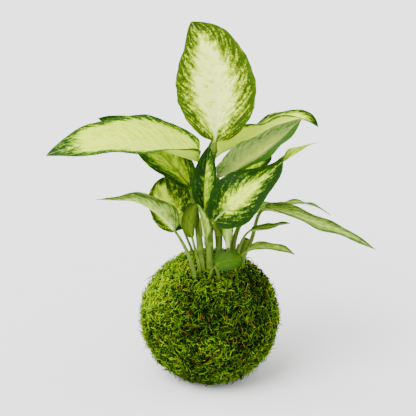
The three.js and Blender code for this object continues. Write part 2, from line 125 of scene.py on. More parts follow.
class ShaderTree:
    """The node tree of one material, with short ways to add the nodes used here.

    The colour sockets of a Mix node share their names with its other sockets, so they are told
    apart by number.
    """

    MIX_COLOURS = (6, 7)
    MIX_RESULT = 2

    def __init__(self, name: str) -> None:
        """Makes a material with a Principled shader joined to its output.

        Args:
            name: Name of the material.
        """
        self.material = bpy.data.materials.new(name)
        self.material.use_nodes = True
        self.tree = self.material.node_tree
        self.principled = self.tree.nodes["Principled BSDF"]

    def node(self, kind: str, **inputs: object) -> bpy.types.Node:
        """Adds a node and fills or joins its inputs.

        Args:
            kind: Identifier of the node type.
            **inputs: Input name, with underscores for spaces, to a value or an output socket.

        Returns:
            The new node.
        """
        made = self.tree.nodes.new(kind)
        for name, value in inputs.items():
            self.feed(made.inputs[name.replace("_", " ")], value)
        return made

    def feed(self, socket: bpy.types.NodeSocket, value: object) -> None:
        """Joins an output to a socket, or sets the socket's own value.

        Args:
            socket: The input to fill.
            value: An output socket, a number or a colour.
        """
        if isinstance(value, bpy.types.NodeSocket):
            self.tree.links.new(value, socket)
        else:
            socket.default_value = value

    def attribute(self, name: str) -> bpy.types.NodeSocket:
        """Reads a number stored on the mesh.

        Args:
            name: Name of the attribute.

        Returns:
            The socket that gives it.
        """
        made = self.node("ShaderNodeAttribute")
        made.attribute_name = name
        return made.outputs["Fac"]

    def math(self, operation: str, *values: object, clamp: bool = False) -> bpy.types.NodeSocket:
        """Does one sum on numbers.

        Args:
            operation: Name of the sum, such as ADD.
            *values: Its operands, each a number or an output socket.
            clamp: Whether the result is held between 0 and 1.

        Returns:
            The socket that gives the result.
        """
        made = self.node("ShaderNodeMath")
        made.operation = operation
        made.use_clamp = clamp
        for socket, value in zip(made.inputs, values):
            self.feed(socket, value)
        return made.outputs["Value"]

    def noise(self, vector: object, pattern: Pattern) -> bpy.types.NodeSocket:
        """Adds a soft random pattern.

        Args:
            vector: The socket that says where in the pattern a point is.
            pattern: How fine and how rough it is.

        Returns:
            A socket with values around a half.
        """
        made = self.node(
            "ShaderNodeTexNoise",
            Vector=vector,
            Scale=pattern.scale,
            Detail=pattern.detail,
            Roughness=pattern.rough,
        )
        return made.outputs["Fac"]

    def about_zero(self, pattern: object) -> bpy.types.NodeSocket:
        """Takes a half off a pattern, so that its values lie around zero."""
        return self.math("SUBTRACT", pattern, 0.5)

    def place(self) -> bpy.types.NodeSocket:
        """Gives the point's place in the object, in metres."""
        return self.node("ShaderNodeTexCoord").outputs["Object"]

    def ramp(self, value: object, stops: dict[float, str]) -> bpy.types.NodeSocket:
        """Turns a number into a colour.

        Args:
            value: The socket with the number.
            stops: Place from 0 to 1 to a screen colour, in rising order.

        Returns:
            A colour socket.
        """
        made = self.node("ShaderNodeValToRGB", Fac=value)
        points = made.color_ramp.elements
        while len(points) < len(stops):
            points.new(0.5)
        for point, (place, code) in zip(points, stops.items()):
            point.position = place
            point.color = linear(code)
        return made.outputs["Color"]

    def mix(self, share: object, first: object, second: object) -> bpy.types.NodeSocket:
        """Blends two colours.

        Args:
            share: How much of the second colour shows, as a number or socket.
            first: A colour or socket.
            second: A colour or socket.

        Returns:
            A colour socket.
        """
        made = self.node("ShaderNodeMix")
        made.data_type = "RGBA"
        self.feed(made.inputs["Factor"], share)
        for number, colour in zip(self.MIX_COLOURS, (first, second)):
            self.feed(made.inputs[number], colour)
        return made.outputs[self.MIX_RESULT]

    def spread(self, pattern: object, middle: float, width: float) -> bpy.types.NodeSocket:
        """Turns a pattern around a half into one around another value.

        Args:
            pattern: The socket with the pattern.
            middle: The value where the pattern is a half.
            width: How much it changes where the pattern changes by one.

        Returns:
            A socket held between 0 and 1.
        """
        return self.math("MULTIPLY_ADD", pattern, width, middle - width / 2, clamp=True)

    def relief(self, height: object, strength: float, distance: float) -> None:
        """Gives the surface a bump.

        Args:
            height: The socket with the height.
            strength: How much of it shows, from 0 to 1.
            distance: Depth in metres where the height changes by one.
        """
        made = self.node("ShaderNodeBump", Height=height, Strength=strength, Distance=distance)
        self.feed(self.principled.inputs["Normal"], made.outputs["Normal"])

    def glow(self, weight: float, colour: Point, depth: float) -> None:
        """Lets light through thin tissue.

        Args:
            weight: Share of the light that goes in.
            colour: How far red, green and blue go beside each other.
            depth: How far the light goes, in metres.
        """
        self.principled.inputs["Subsurface Weight"].default_value = weight
        self.principled.inputs["Subsurface Radius"].default_value = colour
        self.principled.inputs["Subsurface Scale"].default_value = depth

    def finish(self, colour: object, roughness: object, specular: float) -> bpy.types.Material:
        """Fills the Principled shader.

        Args:
            colour: A colour or the socket that gives it.
            roughness: From 0, a mirror, to 1, dull, as a number or socket.
            specular: How strongly the surface reflects.

        Returns:
            The finished material.
        """
        self.feed(self.principled.inputs["Base Color"], colour)
        self.feed(self.principled.inputs["Roughness"], roughness)
        self.principled.inputs["Specular IOR Level"].default_value = specular
        return self.material


@dataclass(frozen=True)
class LeafFinish:
    """The colours of one side of a leaf, from its palest middle to its greenest margin.

    Attributes:
        name: Name of the material.
        pale: Colour of the middle.
        yellow: Colour where green begins.
        green: Colour of half green tissue.
        deep: Colour of fully green tissue.
        rib: Colour of the midrib.
        veins: How strongly the side veins show, from 0 to 1.
        streaks: How far streaks along the veins shift the colour.
        speckles: How far small speckles shift it.
        roughness: How dull the surface is.
        glow: Share of the light that goes into the leaf and may come out on its other side.
    """

    name: str
    pale: str
    yellow: str
    green: str
    deep: str
    rib: str
    veins: float = 0.25
    streaks: float = 0.9
    speckles: float = 0.5
    roughness: float = 0.42
    glow: float = 0.5

    # The patterns, how far they shift the colour, and the share of that in the palest tissue.
    STREAKS = Pattern(1.7, 6.0, 0.62)
    BLOTCHES = Pattern(190.0, 5.0, 0.6)
    GRAIN = Pattern(520.0)
    STREAK_WEIGHT = 1.8
    BLOTCH_WEIGHT = 0.7
    SPECKLE_WEIGHT = 2.0
    PALE_STRENGTH = 0.25

    # The green that every speckle keeps, by how much the tissue is greener than the second value.
    KEPT_GREEN = 0.8
    KEPT_FROM = 0.4

    # Where each colour lies between no green and full green.
    STOPS = (0.06, 0.33, 0.66, 0.96)

    # The lines of the side veins, the bump and the light inside, with depths in metres.
    VEIN_SHARPNESS = 7.0
    VEIN_HEIGHT = 0.6
    GRAIN_HEIGHT = 0.5
    BUMP_STRENGTH = 0.35
    BUMP_DEPTH = 0.0004
    GLOW_REACH = (1.0, 1.0, 0.2)
    GLOW_DEPTH = 0.0025
    ROUGHNESS_SPREAD = 0.3
    SPECULAR = 0.035

    def material(self) -> bpy.types.Material:
        """Builds the shader: how green the tissue is picks its colour, and the veins lie over it.

        A vein's line fades evenly with the distance from the half of its number, and with the
        green. The midrib's own stripe covers both.

        Returns:
            The material.
        """
        shader = ShaderTree(self.name)
        vein = shader.attribute("vein")
        grain = shader.noise(shader.place(), self.GRAIN)
        amount = self.greenness(shader, vein, grain)
        stops = dict(zip(self.STOPS, (self.pale, self.yellow, self.green, self.deep)))
        apart = shader.math("ABSOLUTE", shader.about_zero(shader.math("FRACT", vein)))
        faded = shader.math("MULTIPLY", apart, self.VEIN_SHARPNESS)
        near = shader.math("SUBTRACT", 1.0, faded, clamp=True)
        shown = shader.math("MULTIPLY", near, shader.math("SUBTRACT", 1.0, amount, clamp=True))
        lines = shader.math("MULTIPLY", shown, self.veins)
        veined = shader.mix(lines, shader.ramp(amount, stops), linear(self.rib))
        colour = shader.mix(shader.attribute("rib"), veined, linear(self.rib))
        fine = shader.math("MULTIPLY", grain, self.GRAIN_HEIGHT)
        height = shader.math("MULTIPLY_ADD", near, self.VEIN_HEIGHT, fine)
        shader.relief(height, self.BUMP_STRENGTH, self.BUMP_DEPTH)
        shader.glow(self.glow, self.GLOW_REACH, self.GLOW_DEPTH)
        roughness = shader.spread(grain, self.roughness, self.ROUGHNESS_SPREAD)
        return shader.finish(colour, roughness, self.SPECULAR)

    def greenness(self, shader: ShaderTree, vein: object, grain: object) -> bpy.types.NodeSocket:
        """Shifts the green stored on the mesh by streaks along the veins, blotches and speckles.

        The weighed sum of the three, which counts for a quarter in the palest tissue and in full
        in the greenest. Near the margin even the palest speckle keeps some green.

        Args:
            shader: The material's tree.
            vein: The socket with the vein number, which the streaks follow.
            grain: The socket with the pattern of the speckles.

        Returns:
            The socket with the shifted green.
        """
        green = shader.attribute("green")
        along = shader.node("ShaderNodeCombineXYZ", X=vein, Y=shader.attribute("across"))
        streak = shader.about_zero(shader.noise(along.outputs["Vector"], self.STREAKS))
        blotch = shader.about_zero(shader.noise(shader.place(), self.BLOTCHES))
        speck = shader.about_zero(grain)
        specks = shader.math("MULTIPLY", speck, self.SPECKLE_WEIGHT * self.speckles)
        spots = shader.math("MULTIPLY_ADD", blotch, self.BLOTCH_WEIGHT * self.streaks, specks)
        patches = shader.math("MULTIPLY_ADD", streak, self.STREAK_WEIGHT * self.streaks, spots)
        more = shader.math("MULTIPLY", green, 1 - self.PALE_STRENGTH)
        strength = shader.math("ADD", more, self.PALE_STRENGTH, clamp=True)
        shifted = shader.math("ADD", green, shader.math("MULTIPLY", patches, strength), clamp=True)
        kept = shader.math("MULTIPLY_ADD", green, self.KEPT_GREEN, -self.KEPT_GREEN * self.KEPT_FROM)
        return shader.math("MAXIMUM", shifted, kept)


@dataclass(frozen=True)
class StemFinish:
    """The colours of a stalk or cane: mottled green with paler or browner rings.

    Attributes:
        name: Name of the material.
        light: The lighter of its two main colours.
        dark: The darker one.
        ring: Colour of the rings at its joints.
        roughness: How dull the surface is.
    """

    name: str
    light: str
    dark: str
    ring: str
    roughness: float = 0.45

    STRETCH = (1.0, 1.0, 0.2)
    MOTTLE = Pattern(260.0, 4.0)
    STOPS = (0.35, 0.65)
    BUMP_STRENGTH = 0.4
    BUMP_DEPTH = 0.0006
    ROUGHNESS_SPREAD = 0.3
    SPECULAR = 0.08

    def material(self) -> bpy.types.Material:
        """Builds the shader: a pattern drawn out upwards picks between the two main colours.

        Returns:
            The material.
        """
        shader = ShaderTree(self.name)
        drawn_out = shader.node("ShaderNodeMapping", Vector=shader.place(), Scale=self.STRETCH)
        mottle = shader.noise(drawn_out.outputs["Vector"], self.MOTTLE)
        body = shader.ramp(mottle, dict(zip(self.STOPS, (self.dark, self.light))))
        colour = shader.mix(shader.attribute("rib"), body, linear(self.ring))
        shader.relief(mottle, self.BUMP_STRENGTH, self.BUMP_DEPTH)
        roughness = shader.spread(mottle, self.roughness, self.ROUGHNESS_SPREAD)
        return shader.finish(colour, roughness, self.SPECULAR)


@dataclass(frozen=True)
class MossFinish:
    """The colours of the moss, from the dark foot of a sprig, partly painted shade, to its bright
    tip.

    Attributes:
        name: Name of the material.
        foot: Colour in the gaps.
        body: Main colour.
        tip: Colour of most tips.
        bright: Colour of the brightest tips, which the painted light on one side lifts most.
        dead: Colour of the few dry sprigs.
    """

    name: str
    foot: str
    body: str
    tip: str
    bright: str
    dead: str

    PATCHES = Pattern(28.0)
    SCALES = Pattern(1400.0)
    STOPS = (0.1, 0.5, 0.8, 1.0)
    BUMP_STRENGTH = 0.5
    BUMP_DEPTH = 0.0004
    ROUGHNESS = 0.8
    ROUGHNESS_SPREAD = 0.3
    SPECULAR = 0.03

    def material(self) -> bpy.types.Material:
        """Builds the shader: a tone for each sprig, raised towards its tip, picks the colour.

        Returns:
            The material.
        """
        shader = ShaderTree(self.name)
        place = shader.place()
        patch = shader.about_zero(shader.noise(place, self.PATCHES))
        tone = shader.math("ADD", shader.attribute("tone"), patch, clamp=True)
        stops = dict(zip(self.STOPS, (self.foot, self.body, self.tip, self.bright)))
        colour = shader.mix(shader.attribute("dry"), shader.ramp(tone, stops), linear(self.dead))
        scales = shader.noise(place, self.SCALES)
        shader.relief(scales, self.BUMP_STRENGTH, self.BUMP_DEPTH)
        roughness = shader.spread(scales, self.ROUGHNESS, self.ROUGHNESS_SPREAD)
        return shader.finish(colour, roughness, self.SPECULAR)


class Finish(Enum):
    """Every finish on the plant, each with its own values."""

    IVORY = LeafFinish("leaf_ivory", "E6FF7C", "A6BE08", "567004", "263E04", "D8ECA0", 0.12, 2.0, 0.7)
    LEMON = LeafFinish("leaf_lemon", "D4EA26", "90AE08", "3E6006", "102A04", "AAC860", 0.3, 2.0, 0.6)
    SUNNY = LeafFinish("leaf_sunny", "CCE80C", "98BC08", "3C600C", "1A3A0C", "ECFC90", 0.35, 2.0, 0.6)
    LEAF = LeafFinish("leaf_plain", "B4CA14", "6A920A", "2E520A", "0E2805", "4E6E14", 0.12, 2.0, 0.5)
    FRESH = LeafFinish("leaf_fresh", "385408", "2E4C08", "264408", "203A08", "426210", 0.1, 0.6, 0.3)
    OLIVE = LeafFinish("leaf_olive", "4C620C", "40560A", "344A08", "2A4006", "647C18", 0.3, 1.0, 0.3)
    UNDER_PALE = LeafFinish(
        "underside_pale", "A8C420", "8CAC14", "426212", "243E0C", "B4C444", 0.2, 1.4, 0.4, 0.55
    )
    # Underside of leaf_right_back: a brighter copy of the pale underside, painted light standing for
    # light that shines through the leaf.
    UNDER_LIT = LeafFinish(
        "underside_painted_light", "D4FF40", "B8D81C", "42680C", "1E3C0A", "E0F070", 0.15, 1.4, 0.4, 0.55, 0.95
    )
    UNDER_GREY = LeafFinish(
        "underside_grey", "7A9634", "6A862C", "42641A", "284610", "92A84C", 0.2, 1.0, 0.3, 0.55
    )
    UNDER_SILVER = LeafFinish(
        "underside_silver", "A2BE4C", "7E9836", "547424", "2E4A10", "BCD070", 0.3, 2.0, 0.3, 0.55
    )
    # Underside of leaf_right_grey. Its greyish green stop is painted sheen, shown on the half that
    # faces the light.
    UNDER_FRESH = LeafFinish(
        "underside_green_and_painted_sheen", "BAD834", "98AA3C", "748C46", "305A04", "90A450", 0.3, 0.8, 0.2, 0.55
    )
    STALK = StemFinish("stalk_green", "5C7420", "3E5414", "6C8228")
    CANE = StemFinish("cane_pale", "56701A", "3A5212", "6A8026")
    # A darker copy of the pale cane: painted shade for the side cane, which stands in shade behind
    # the leaves.
    CANE_DARK = StemFinish("cane_painted_shade", "3E5812", "26400C", "4E661C")
    CUT = StemFinish("cane_cut_skin", "5C7C16", "3C5A10", "6E8A22")
    SCAR = StemFinish("cane_scar", "4A3C18", "2A2010", "3A3014", 0.85)
    SOIL = StemFinish("soil_dark", "24180A", "100A04", "1E140A", 0.95)
    # The near-black foot colour is partly painted shade deep in the moss.
    MOSS = MossFinish("moss_sprigs", "0C1602", "3A600A", "709E04", "A0BE06", "7A561C")
    # The bed's colours are almost black: painted shade in the gaps between the sprigs.
    MOSS_BED = MossFinish("moss_bed", "080C02", "0E1603", "1A280A", "22300C", "1E1608")

    def material(self) -> bpy.types.Material:
        """Gives this finish's material, which is built the first time it is asked for.

        Returns:
            The material.
        """
        return bpy.data.materials.get(self.value.name) or self.value.material()


class Line:
    """A centripetal Catmull-Rom curve through points, read by the length along it."""

    def __init__(self, points: list[Point] | tuple[Point, ...], steps: int = 40) -> None:
        """Fits a cubic between every two points and measures it.

        Args:
            points: The points that the curve passes through.
            steps: How many chords measure each span.
        """
        knots = np.array(points, dtype=float)
        ends = np.vstack((2 * knots[0] - knots[1], knots, 2 * knots[-1] - knots[-2]))
        before, start, stop, after = ends[:-3], ends[1:-2], ends[2:-1], ends[3:]
        first, middle, last = (
            np.sqrt(np.linalg.norm(b - a, axis=1))[:, None]
            for a, b in ((before, start), (start, stop), (stop, after))
        )
        chord = (stop - start) / middle
        leave = ((start - before) / first - (stop - before) / (first + middle) + chord) * middle
        arrive = (chord - (after - start) / (middle + last) + (after - stop) / last) * middle
        square = -3 * start + 3 * stop - 2 * leave - arrive
        cube = 2 * start - 2 * stop + leave + arrive
        self.cubics = np.stack((start, leave, square, cube))
        self.places = np.linspace(0, len(knots) - 1, (len(knots) - 1) * steps + 1)
        chords = np.diff(self.position(self.places), axis=0)
        self.lengths = np.concatenate(([0.0], np.cumsum(np.linalg.norm(chords, axis=1))))
        self.steps = steps

    @property
    def length(self) -> float:
        """The whole length of the curve."""
        return float(self.lengths[-1])

    def length_to(self, knot: int) -> float:
        """Measures the curve from its start to one of its points.

        Args:
            knot: Number of the point.

        Returns:
            The length up to it.
        """
        return float(self.lengths[knot * self.steps])

    def _span(self, places: np.ndarray) -> tuple[np.ndarray, np.ndarray]:
        """Finds the cubic that each place lies on and how far along it the place is."""
        span = np.clip(np.floor(places).astype(int), 0, self.cubics.shape[1] - 1)
        return self.cubics[:, span], (places - span)[:, None]

    def position(self, places: np.ndarray) -> np.ndarray:
        """Finds points on the curve.

        Args:
            places: Numbers that run from 0 at the first point to one more at each next point.

        Returns:
            The points, one row each.
        """
        cubic, share = self._span(places)
        return cubic[0] + share * (cubic[1] + share * (cubic[2] + share * cubic[3]))

    def at(self, distances: np.ndarray) -> tuple[np.ndarray, np.ndarray]:
        """Finds points and directions at lengths along the curve.

        Args:
            distances: Lengths from its start.

        Returns:
            The points and the unit directions there, one row each.
        """
        places = np.interp(distances, self.lengths, self.places)
        cubic, share = self._span(places)
        slope = cubic[1] + share * (2 * cubic[2] + share * 3 * cubic[3])
        return self.position(places), unit(slope)


def walls(rings: int, around: int) -> np.ndarray:
    """Joins each of a row of closed rings to the next.

    Args:
        rings: How many rings there are.
        around: How many points each one has.

    Returns:
        Four point numbers for every face, one row each.
    """
    start = (np.arange(rings - 1) * around)[:, None]
    here = np.arange(around)[None, :]
    after = (here + 1) % around
    corners = (start + here, start + after, start + around + after, start + around + here)
    return np.stack(corners, axis=-1).reshape(-1, 4)


def flipped(faces: np.ndarray) -> np.ndarray:
    """Turns faces with four corners inside out, each from the same first corner."""
    return faces[:, [0, 3, 2, 1]]


def halved(faces: np.ndarray) -> np.ndarray:
    """Cuts faces with four corners into triangles.

    Args:
        faces: Four point numbers for every face.

    Returns:
        The first halves of all faces and then the second ones, three point numbers each.
    """
    return np.vstack((faces[:, [0, 1, 2]], faces[:, [0, 2, 3]]))


@dataclass
class Skin:
    """A closed skin of rings of points, ready to become a mesh.

    Attributes:
        rings: Rings by points around by three. A ring runs over the upper side from left to right
            and back under it.
        slots: Material number of each patch between two rings, rings less one by points around.
        numbers: Values stored on the points, by attribute name, rings by points around.
        creases: Which points around lie on a sharp edge that runs along the skin, on each ring.
    """

    rings: np.ndarray
    slots: np.ndarray
    numbers: dict[str, np.ndarray]
    creases: np.ndarray

    def faces(self) -> np.ndarray:
        """Joins each ring to the next and closes both ends with strips across.

        Returns:
            Four point numbers for every face, seen from outside.
        """
        count, around = self.rings.shape[:2]
        column = np.arange(around // 2 - 1)
        opposite = around - 1 - column
        foot = np.stack((column, opposite, opposite - 1, column + 1), axis=-1)
        top = (count - 1) * around + flipped(foot)
        return np.vstack((walls(count, around), foot, top))

    def build(self, name: str, finishes: list[Finish], cap: int = 0) -> bpy.types.Object:
        """Makes the mesh and its object.

        Args:
            name: Name of the object.
            finishes: Finishes in the order of the material numbers.
            cap: Material number of the closing strip at the last ring.

        Returns:
            The object, at the origin and unscaled.
        """
        around = self.rings.shape[1]
        strip = around // 2 - 1
        ends = (np.full(strip, self.slots[0, 0]), np.full(strip, cap))
        slots = np.concatenate((self.slots.ravel(), *ends))
        points = self.rings.reshape(-1, 3)
        made = mesh_object(name, points, self.faces(), finishes, slots, self.numbers)
        edges = np.zeros(len(made.data.edges) * 2, dtype=np.int32)
        made.data.edges.foreach_get("vertices", edges)
        pairs = edges.reshape(-1, 2)
        creased = self.creases.ravel()
        sharp = (pairs[:, 0] % around == pairs[:, 1] % around) & creased[pairs].all(axis=1)
        layer = made.data.attributes.new("sharp_edge", "BOOLEAN", "EDGE")
        layer.data.foreach_set("value", sharp)
        return made


def mesh_object(
    name: str,
    points: np.ndarray,
    faces: np.ndarray,
    finishes: list[Finish],
    slots: np.ndarray | None = None,
    numbers: dict[str, np.ndarray] | None = None,
) -> bpy.types.Object:
    """Makes a smooth mesh object from whole arrays.

    Args:
        name: Name of the object and its mesh.
        points: Points in millimetres, one row each.
        faces: Point numbers, one row for each face.
        finishes: Finishes in the order of the material numbers.
        slots: Material number of each face, or None where there is only one.
        numbers: Values stored on the points, by attribute name.

    Returns:
        The object, linked to the scene.
    """
    sides = faces.shape[1]
    mesh = bpy.data.meshes.new(name)
    mesh.vertices.add(len(points))
    mesh.vertices.foreach_set("co", (points * MM).astype(np.float32).ravel())
    mesh.loops.add(faces.size)
    mesh.loops.foreach_set("vertex_index", faces.astype(np.int32).ravel())
    mesh.polygons.add(len(faces))
    mesh.polygons.foreach_set("loop_start", np.arange(0, faces.size, sides, dtype=np.int32))
    for finish in finishes:
        mesh.materials.append(finish.material())
    if slots is not None:
        mesh.polygons.foreach_set("material_index", slots.astype(np.int32))
    for key, values in (numbers or {}).items():
        layer = mesh.attributes.new(key, "FLOAT", "POINT")
        layer.data.foreach_set("value", values.astype(np.float32).ravel())
    mesh.update(calc_edges=True)
    mesh.shade_smooth()
    made = bpy.data.objects.new(name, mesh)
    bpy.context.collection.objects.link(made)
    return made


def take(made: bpy.types.Object, slot: str, *nodes: str) -> None:
    """Attaches a piece to the plant's body, hides the CAD nodes that it stands for, and logs it with
    its material slot.

    Args:
        made: The piece.
        slot: Name of a material slot, which is only logged.
        *nodes: CAD nodes that it stands for.
    """
    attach(made, BODY)
    if nodes:
        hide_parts(*nodes)
    LOG.info("%s: %d faces, slot %s", made.name, len(made.data.polygons), slot)


def ring_angles(count: int) -> np.ndarray:
    """Spaces the points of a round ring, from the left over the upper side and back under it.

    Args:
        count: Half the number of points.

    Returns:
        Angles from the direction to the right, in radians.
    """
    return math.pi * (1 - (np.arange(2 * count) + 0.5) / count)


def round_rings(
    centres: np.ndarray, side: np.ndarray, up: np.ndarray, radii: np.ndarray, count: int
) -> np.ndarray:
    """Makes round rings about a line.

    Args:
        centres: Middle of each ring.
        side: Unit direction to its right.
        up: Unit direction up from it.
        radii: Radius of each ring, or rings by points around.
        count: Half the number of points on a ring.

    Returns:
        Rings by points around by three.
    """
    angle = ring_angles(count)
    reach = radii if radii.ndim == 2 else radii[:, None]
    return (
        centres[:, None]
        + side[:, None] * (reach * np.cos(angle))[..., None]
        + up[:, None] * (reach * np.sin(angle))[..., None]
    )


@dataclass(frozen=True)
class Markings:
    """Where a leaf is green.

    Attributes:
        ground: How green its middle is, from 0, cream, to 1, deep green.
        margins: How far the green comes in from the left and the right margin, in millimetres.
        tip: Share of the blade's length from which the green spreads to the tip.
        base: Share of the blade's length up to which green spreads from the base.
        solid: Share of the margins' depth that is wholly green.
        full: How green the left and the right margin get.
    """

    ground: float
    margins: Pair
    tip: float = 0.85
    base: float = 0.0
    solid: float = 0.25
    full: Pair = (1.0, 1.0)

    MIDRIB_SHARE = 0.33
    END_RISE = 1.6
    SHORTEST_END = 0.01
    MOST = 1.5

    def green(self, t: np.ndarray, u: np.ndarray, half: np.ndarray) -> np.ndarray:
        """Works out how green the tissue is.

        The margin's full value at the edge, falling evenly to the ground value one margin width
        further in, and raised in the same way towards the tip and the base. The ground value
        itself falls to a third at the midrib.

        Args:
            t: Share of the blade's length.
            u: Place across it, from -1 at the left margin to 1 at the right.
            half: Half the blade's width there, in millimetres.

        Returns:
            Values from 0 to 1, and beyond where streaks can't lighten the green.
        """
        inward = (1 - np.abs(u)) * half
        edge = 1 + self.solid - inward / np.where(u < 0, *self.margins)
        tip = self.END_RISE * (t - self.tip) / max(1 - self.tip, self.SHORTEST_END)
        base = self.END_RISE * (self.base - t) / max(self.base, self.SHORTEST_END)
        most = np.clip(np.maximum(edge, np.maximum(tip, base)), 0, self.MOST)
        ground = self.ground * (self.MIDRIB_SHARE + (1 - self.MIDRIB_SHARE) * np.abs(u))
        return ground + (np.where(u < 0, *self.full) - ground) * most


@dataclass(frozen=True)
class BladeGrid:
    """The places of a blade's points, rings along it by points across one side.

    Attributes:
        t: Share of the blade's length, in one column.
        u: Place across it, from -1 at the left margin to 1 at the right, in one row.
        half: Half the blade's width, in one column, in millimetres.
        reach: How far each point is from the midrib along the blade's surface.
        vein: Number of the side vein at each point.
    """

    t: np.ndarray
    u: np.ndarray
    half: np.ndarray
    reach: np.ndarray
    vein: np.ndarray


@dataclass(frozen=True)
class Leaf:
    """One leaf, grown in one piece with its stalk.

    Attributes:
        name: Name of its CAD node.
        slot: Name of its material slot, which is only logged.
        stalk: Points of the stalk from its foot.
        radii: Radius of the stalk at its foot and at the blade.
        midrib: Points of the midrib from the blade's base to its tip.
        width: Width of the blade at its widest.
        widest: Where along the blade that is.
        taper: How round the base and the tip are, rounder when low.
        facing: Which way the upper side looks at the base and at the tip.
        fold: How far the left and the right half stand up, in degrees, at the base and beyond.
        curl: How far a half bends further towards its margin, in degrees.
        waves: Count, height and phase in turns of the waves along the margins.
        markings: Where the leaf is green.
        sides: Finishes of the upper side and the underside.
        tail: Half width that a drawn-out tip keeps, and in degrees how far it turns over and how
            far its halves stand up.
        fine: Whether the leaf is large enough for the finer grid.
    """

    name: str
    slot: str
    stalk: tuple[Point, ...]
    radii: Pair
    midrib: tuple[Point, ...]
    width: float
    widest: float
    taper: Pair
    facing: tuple[Point, Point]
    fold: tuple[Pair, Pair]
    curl: float
    waves: Point
    markings: Markings
    sides: tuple[Finish, Finish]
    tail: Point = (0.0, 0.0, 0.0)
    fine: bool = True

    # The seed, and the grid: points across one side, rings along the blade and along the stalk.
    SEEDS = 97
    SEED_STEP = 7
    FINE_GRID = (33, 96, 22)
    PLAIN_GRID = (21, 60, 16)
    RING_CROWDING = 0.6
    MIDRIB_CROWDING = 0.5

    # The outline. A blade loses its fold as it gets narrower than the flat half width. The ragged
    # waves have a height in half widths, a count along the blade and a share of the leaf's turn.
    TIP_HALF_WIDTH = 0.4
    FLAT_HALF_WIDTH = 3.0
    WAVE_OFFSET = 0.37
    RAGGED_WAVES = ((0.011, 5.3, 1), (0.006, 11.7, 3), (0.002, 23.0, 5))
    RAGGED_TURNS = (0.37, 0.43)

    # The drawn-out tip, in shares of the blade's length, and how much paler it is.
    TAIL_START = 0.66
    TAIL_LENGTH = 0.16
    TAIL_RUN_OUT = 0.28
    TAIL_PALER = 0.75

    # The two sides: thickness, rib, groove and side veins, with lengths in millimetres.
    THICKNESS = 0.7
    MARGIN_THINNER = 0.45
    RIB_DEPTH = 1.3
    RIB_WIDTHS = (0.5, 1.1)
    RIB_FADE = 1.5
    GROOVE_DEPTH = 0.45
    GROOVE_WIDTH = 1.5
    VEIN_SLANT = 0.3
    VEIN_BEND = 1.5
    VEIN_SPACING = 8.5
    VEIN_HEIGHT = 0.16

    # What the finishes read: the midrib's stripe and where the colours begin.
    STRIPE_LEAST = 0.35
    STRIPE_LEAST_WIDTH = 0.35
    STRIPE_WIDTHS = (0.4, 0.9)
    COLOUR_BLEND = 0.06
    BASE_GREEN = 0.5
    ACROSS_SCALE = 2.0

    # The stalk, and how it turns into the blade. The first rings of the blade have no sharp edge.
    BLEND_LENGTH = 0.04
    BLEND_NARROWER = 0.8
    SMOOTH_RINGS = 6
    SHEATH_FLARE = 0.5
    SHEATH_POWER = 1.2
    CHANNEL_DEPTH = 0.16
    CHANNEL_WIDTH = 0.5
    STALK_VALUES = {"green": 0.6, "across": 0.0, "rib": 0.0}

    @property
    def seed(self) -> float:
        """A whole number worked out from the leaf's name, which moves its pattern."""
        return float(sum(self.name.encode()) % self.SEEDS * self.SEED_STEP)

    @property
    def counts(self) -> tuple[int, int, int]:
        """Points across one side, rings along the blade and rings along the stalk."""
        return self.FINE_GRID if self.fine else self.PLAIN_GRID

    def half_width(self, t: np.ndarray) -> np.ndarray:
        """Works out half the blade's width.

        A power of one minus the square of the way from the widest place to the base or the tip,
        and along a drawn-out tip its own half width, which runs out evenly.

        Args:
            t: Share of the blade's length.

        Returns:
            Half widths in millimetres.
        """
        away = np.where(t < self.widest, 1 - t / self.widest, (t - self.widest) / (1 - self.widest))
        power = np.where(t < self.widest, self.taper[0], self.taper[1])
        tail = self.tail[0] * self.drawn_out(t) * np.clip((1 - t) / self.TAIL_RUN_OUT, 0, 1)
        half = self.width / 2 * np.clip(1 - away**2, 0, 1) ** power + tail
        return np.maximum(half, self.TIP_HALF_WIDTH)

    def drawn_out(self, t: np.ndarray) -> np.ndarray:
        """Says how far a place is into the drawn-out tip: 0 before it, 1 well inside it.

        Args:
            t: Share of the blade's length.

        Returns:
            The share, or 0 everywhere on a leaf without such a tip.
        """
        return smooth((t - self.TAIL_START) / self.TAIL_LENGTH) * (self.tail[0] > 0)

    def frames(
        self, line: Line, distance: np.ndarray, turned: np.ndarray
    ) -> tuple[np.ndarray, np.ndarray, np.ndarray]:
        """Finds the line's points with the directions to the right and up from the face.

        Args:
            line: The leaf's line.
            distance: Lengths along it.
            turned: How far the face has turned from its first to its second direction.

        Returns:
            Points, side directions and up directions.
        """
        centre, forward = line.at(distance)
        first, last = (unit(np.array(face, dtype=float)) for face in self.facing)
        face = first + (last - first) * turned[:, None]
        side = unit(np.cross(forward, face))
        return centre, side, unit(np.cross(side, forward))

    def vein(self, t: np.ndarray, u: np.ndarray, length: float) -> np.ndarray:
        """Numbers the side veins, which lie at the half of each number and slant towards the tip.

        Args:
            t: Share of the blade's length.
            u: Place across it.
            length: Length of the blade.

        Returns:
            The vein number at each point, offset by half a vein between the halves.
        """
        slanted = t - self.VEIN_SLANT * np.abs(u) ** self.VEIN_BEND
        return slanted * length / self.VEIN_SPACING + np.where(u < 0, 0.5, 0.0)

    def ragged(self, t: np.ndarray, u: np.ndarray) -> np.ndarray:
        """Works out how uneven the margins are: the sum of three sines of unlike length.

        Args:
            t: Share of the blade's length.
            u: Place across it.

        Returns:
            How much wider the blade is there, as a share of its half width.
        """
        for_leaf, for_half = self.RAGGED_TURNS
        turn = 2 * np.pi * (self.seed * for_leaf + np.where(u < 0, for_half, 0.0))
        return sum(
            height * np.sin(2 * np.pi * count * t + times * turn)
            for height, count, times in self.RAGGED_WAVES
        )

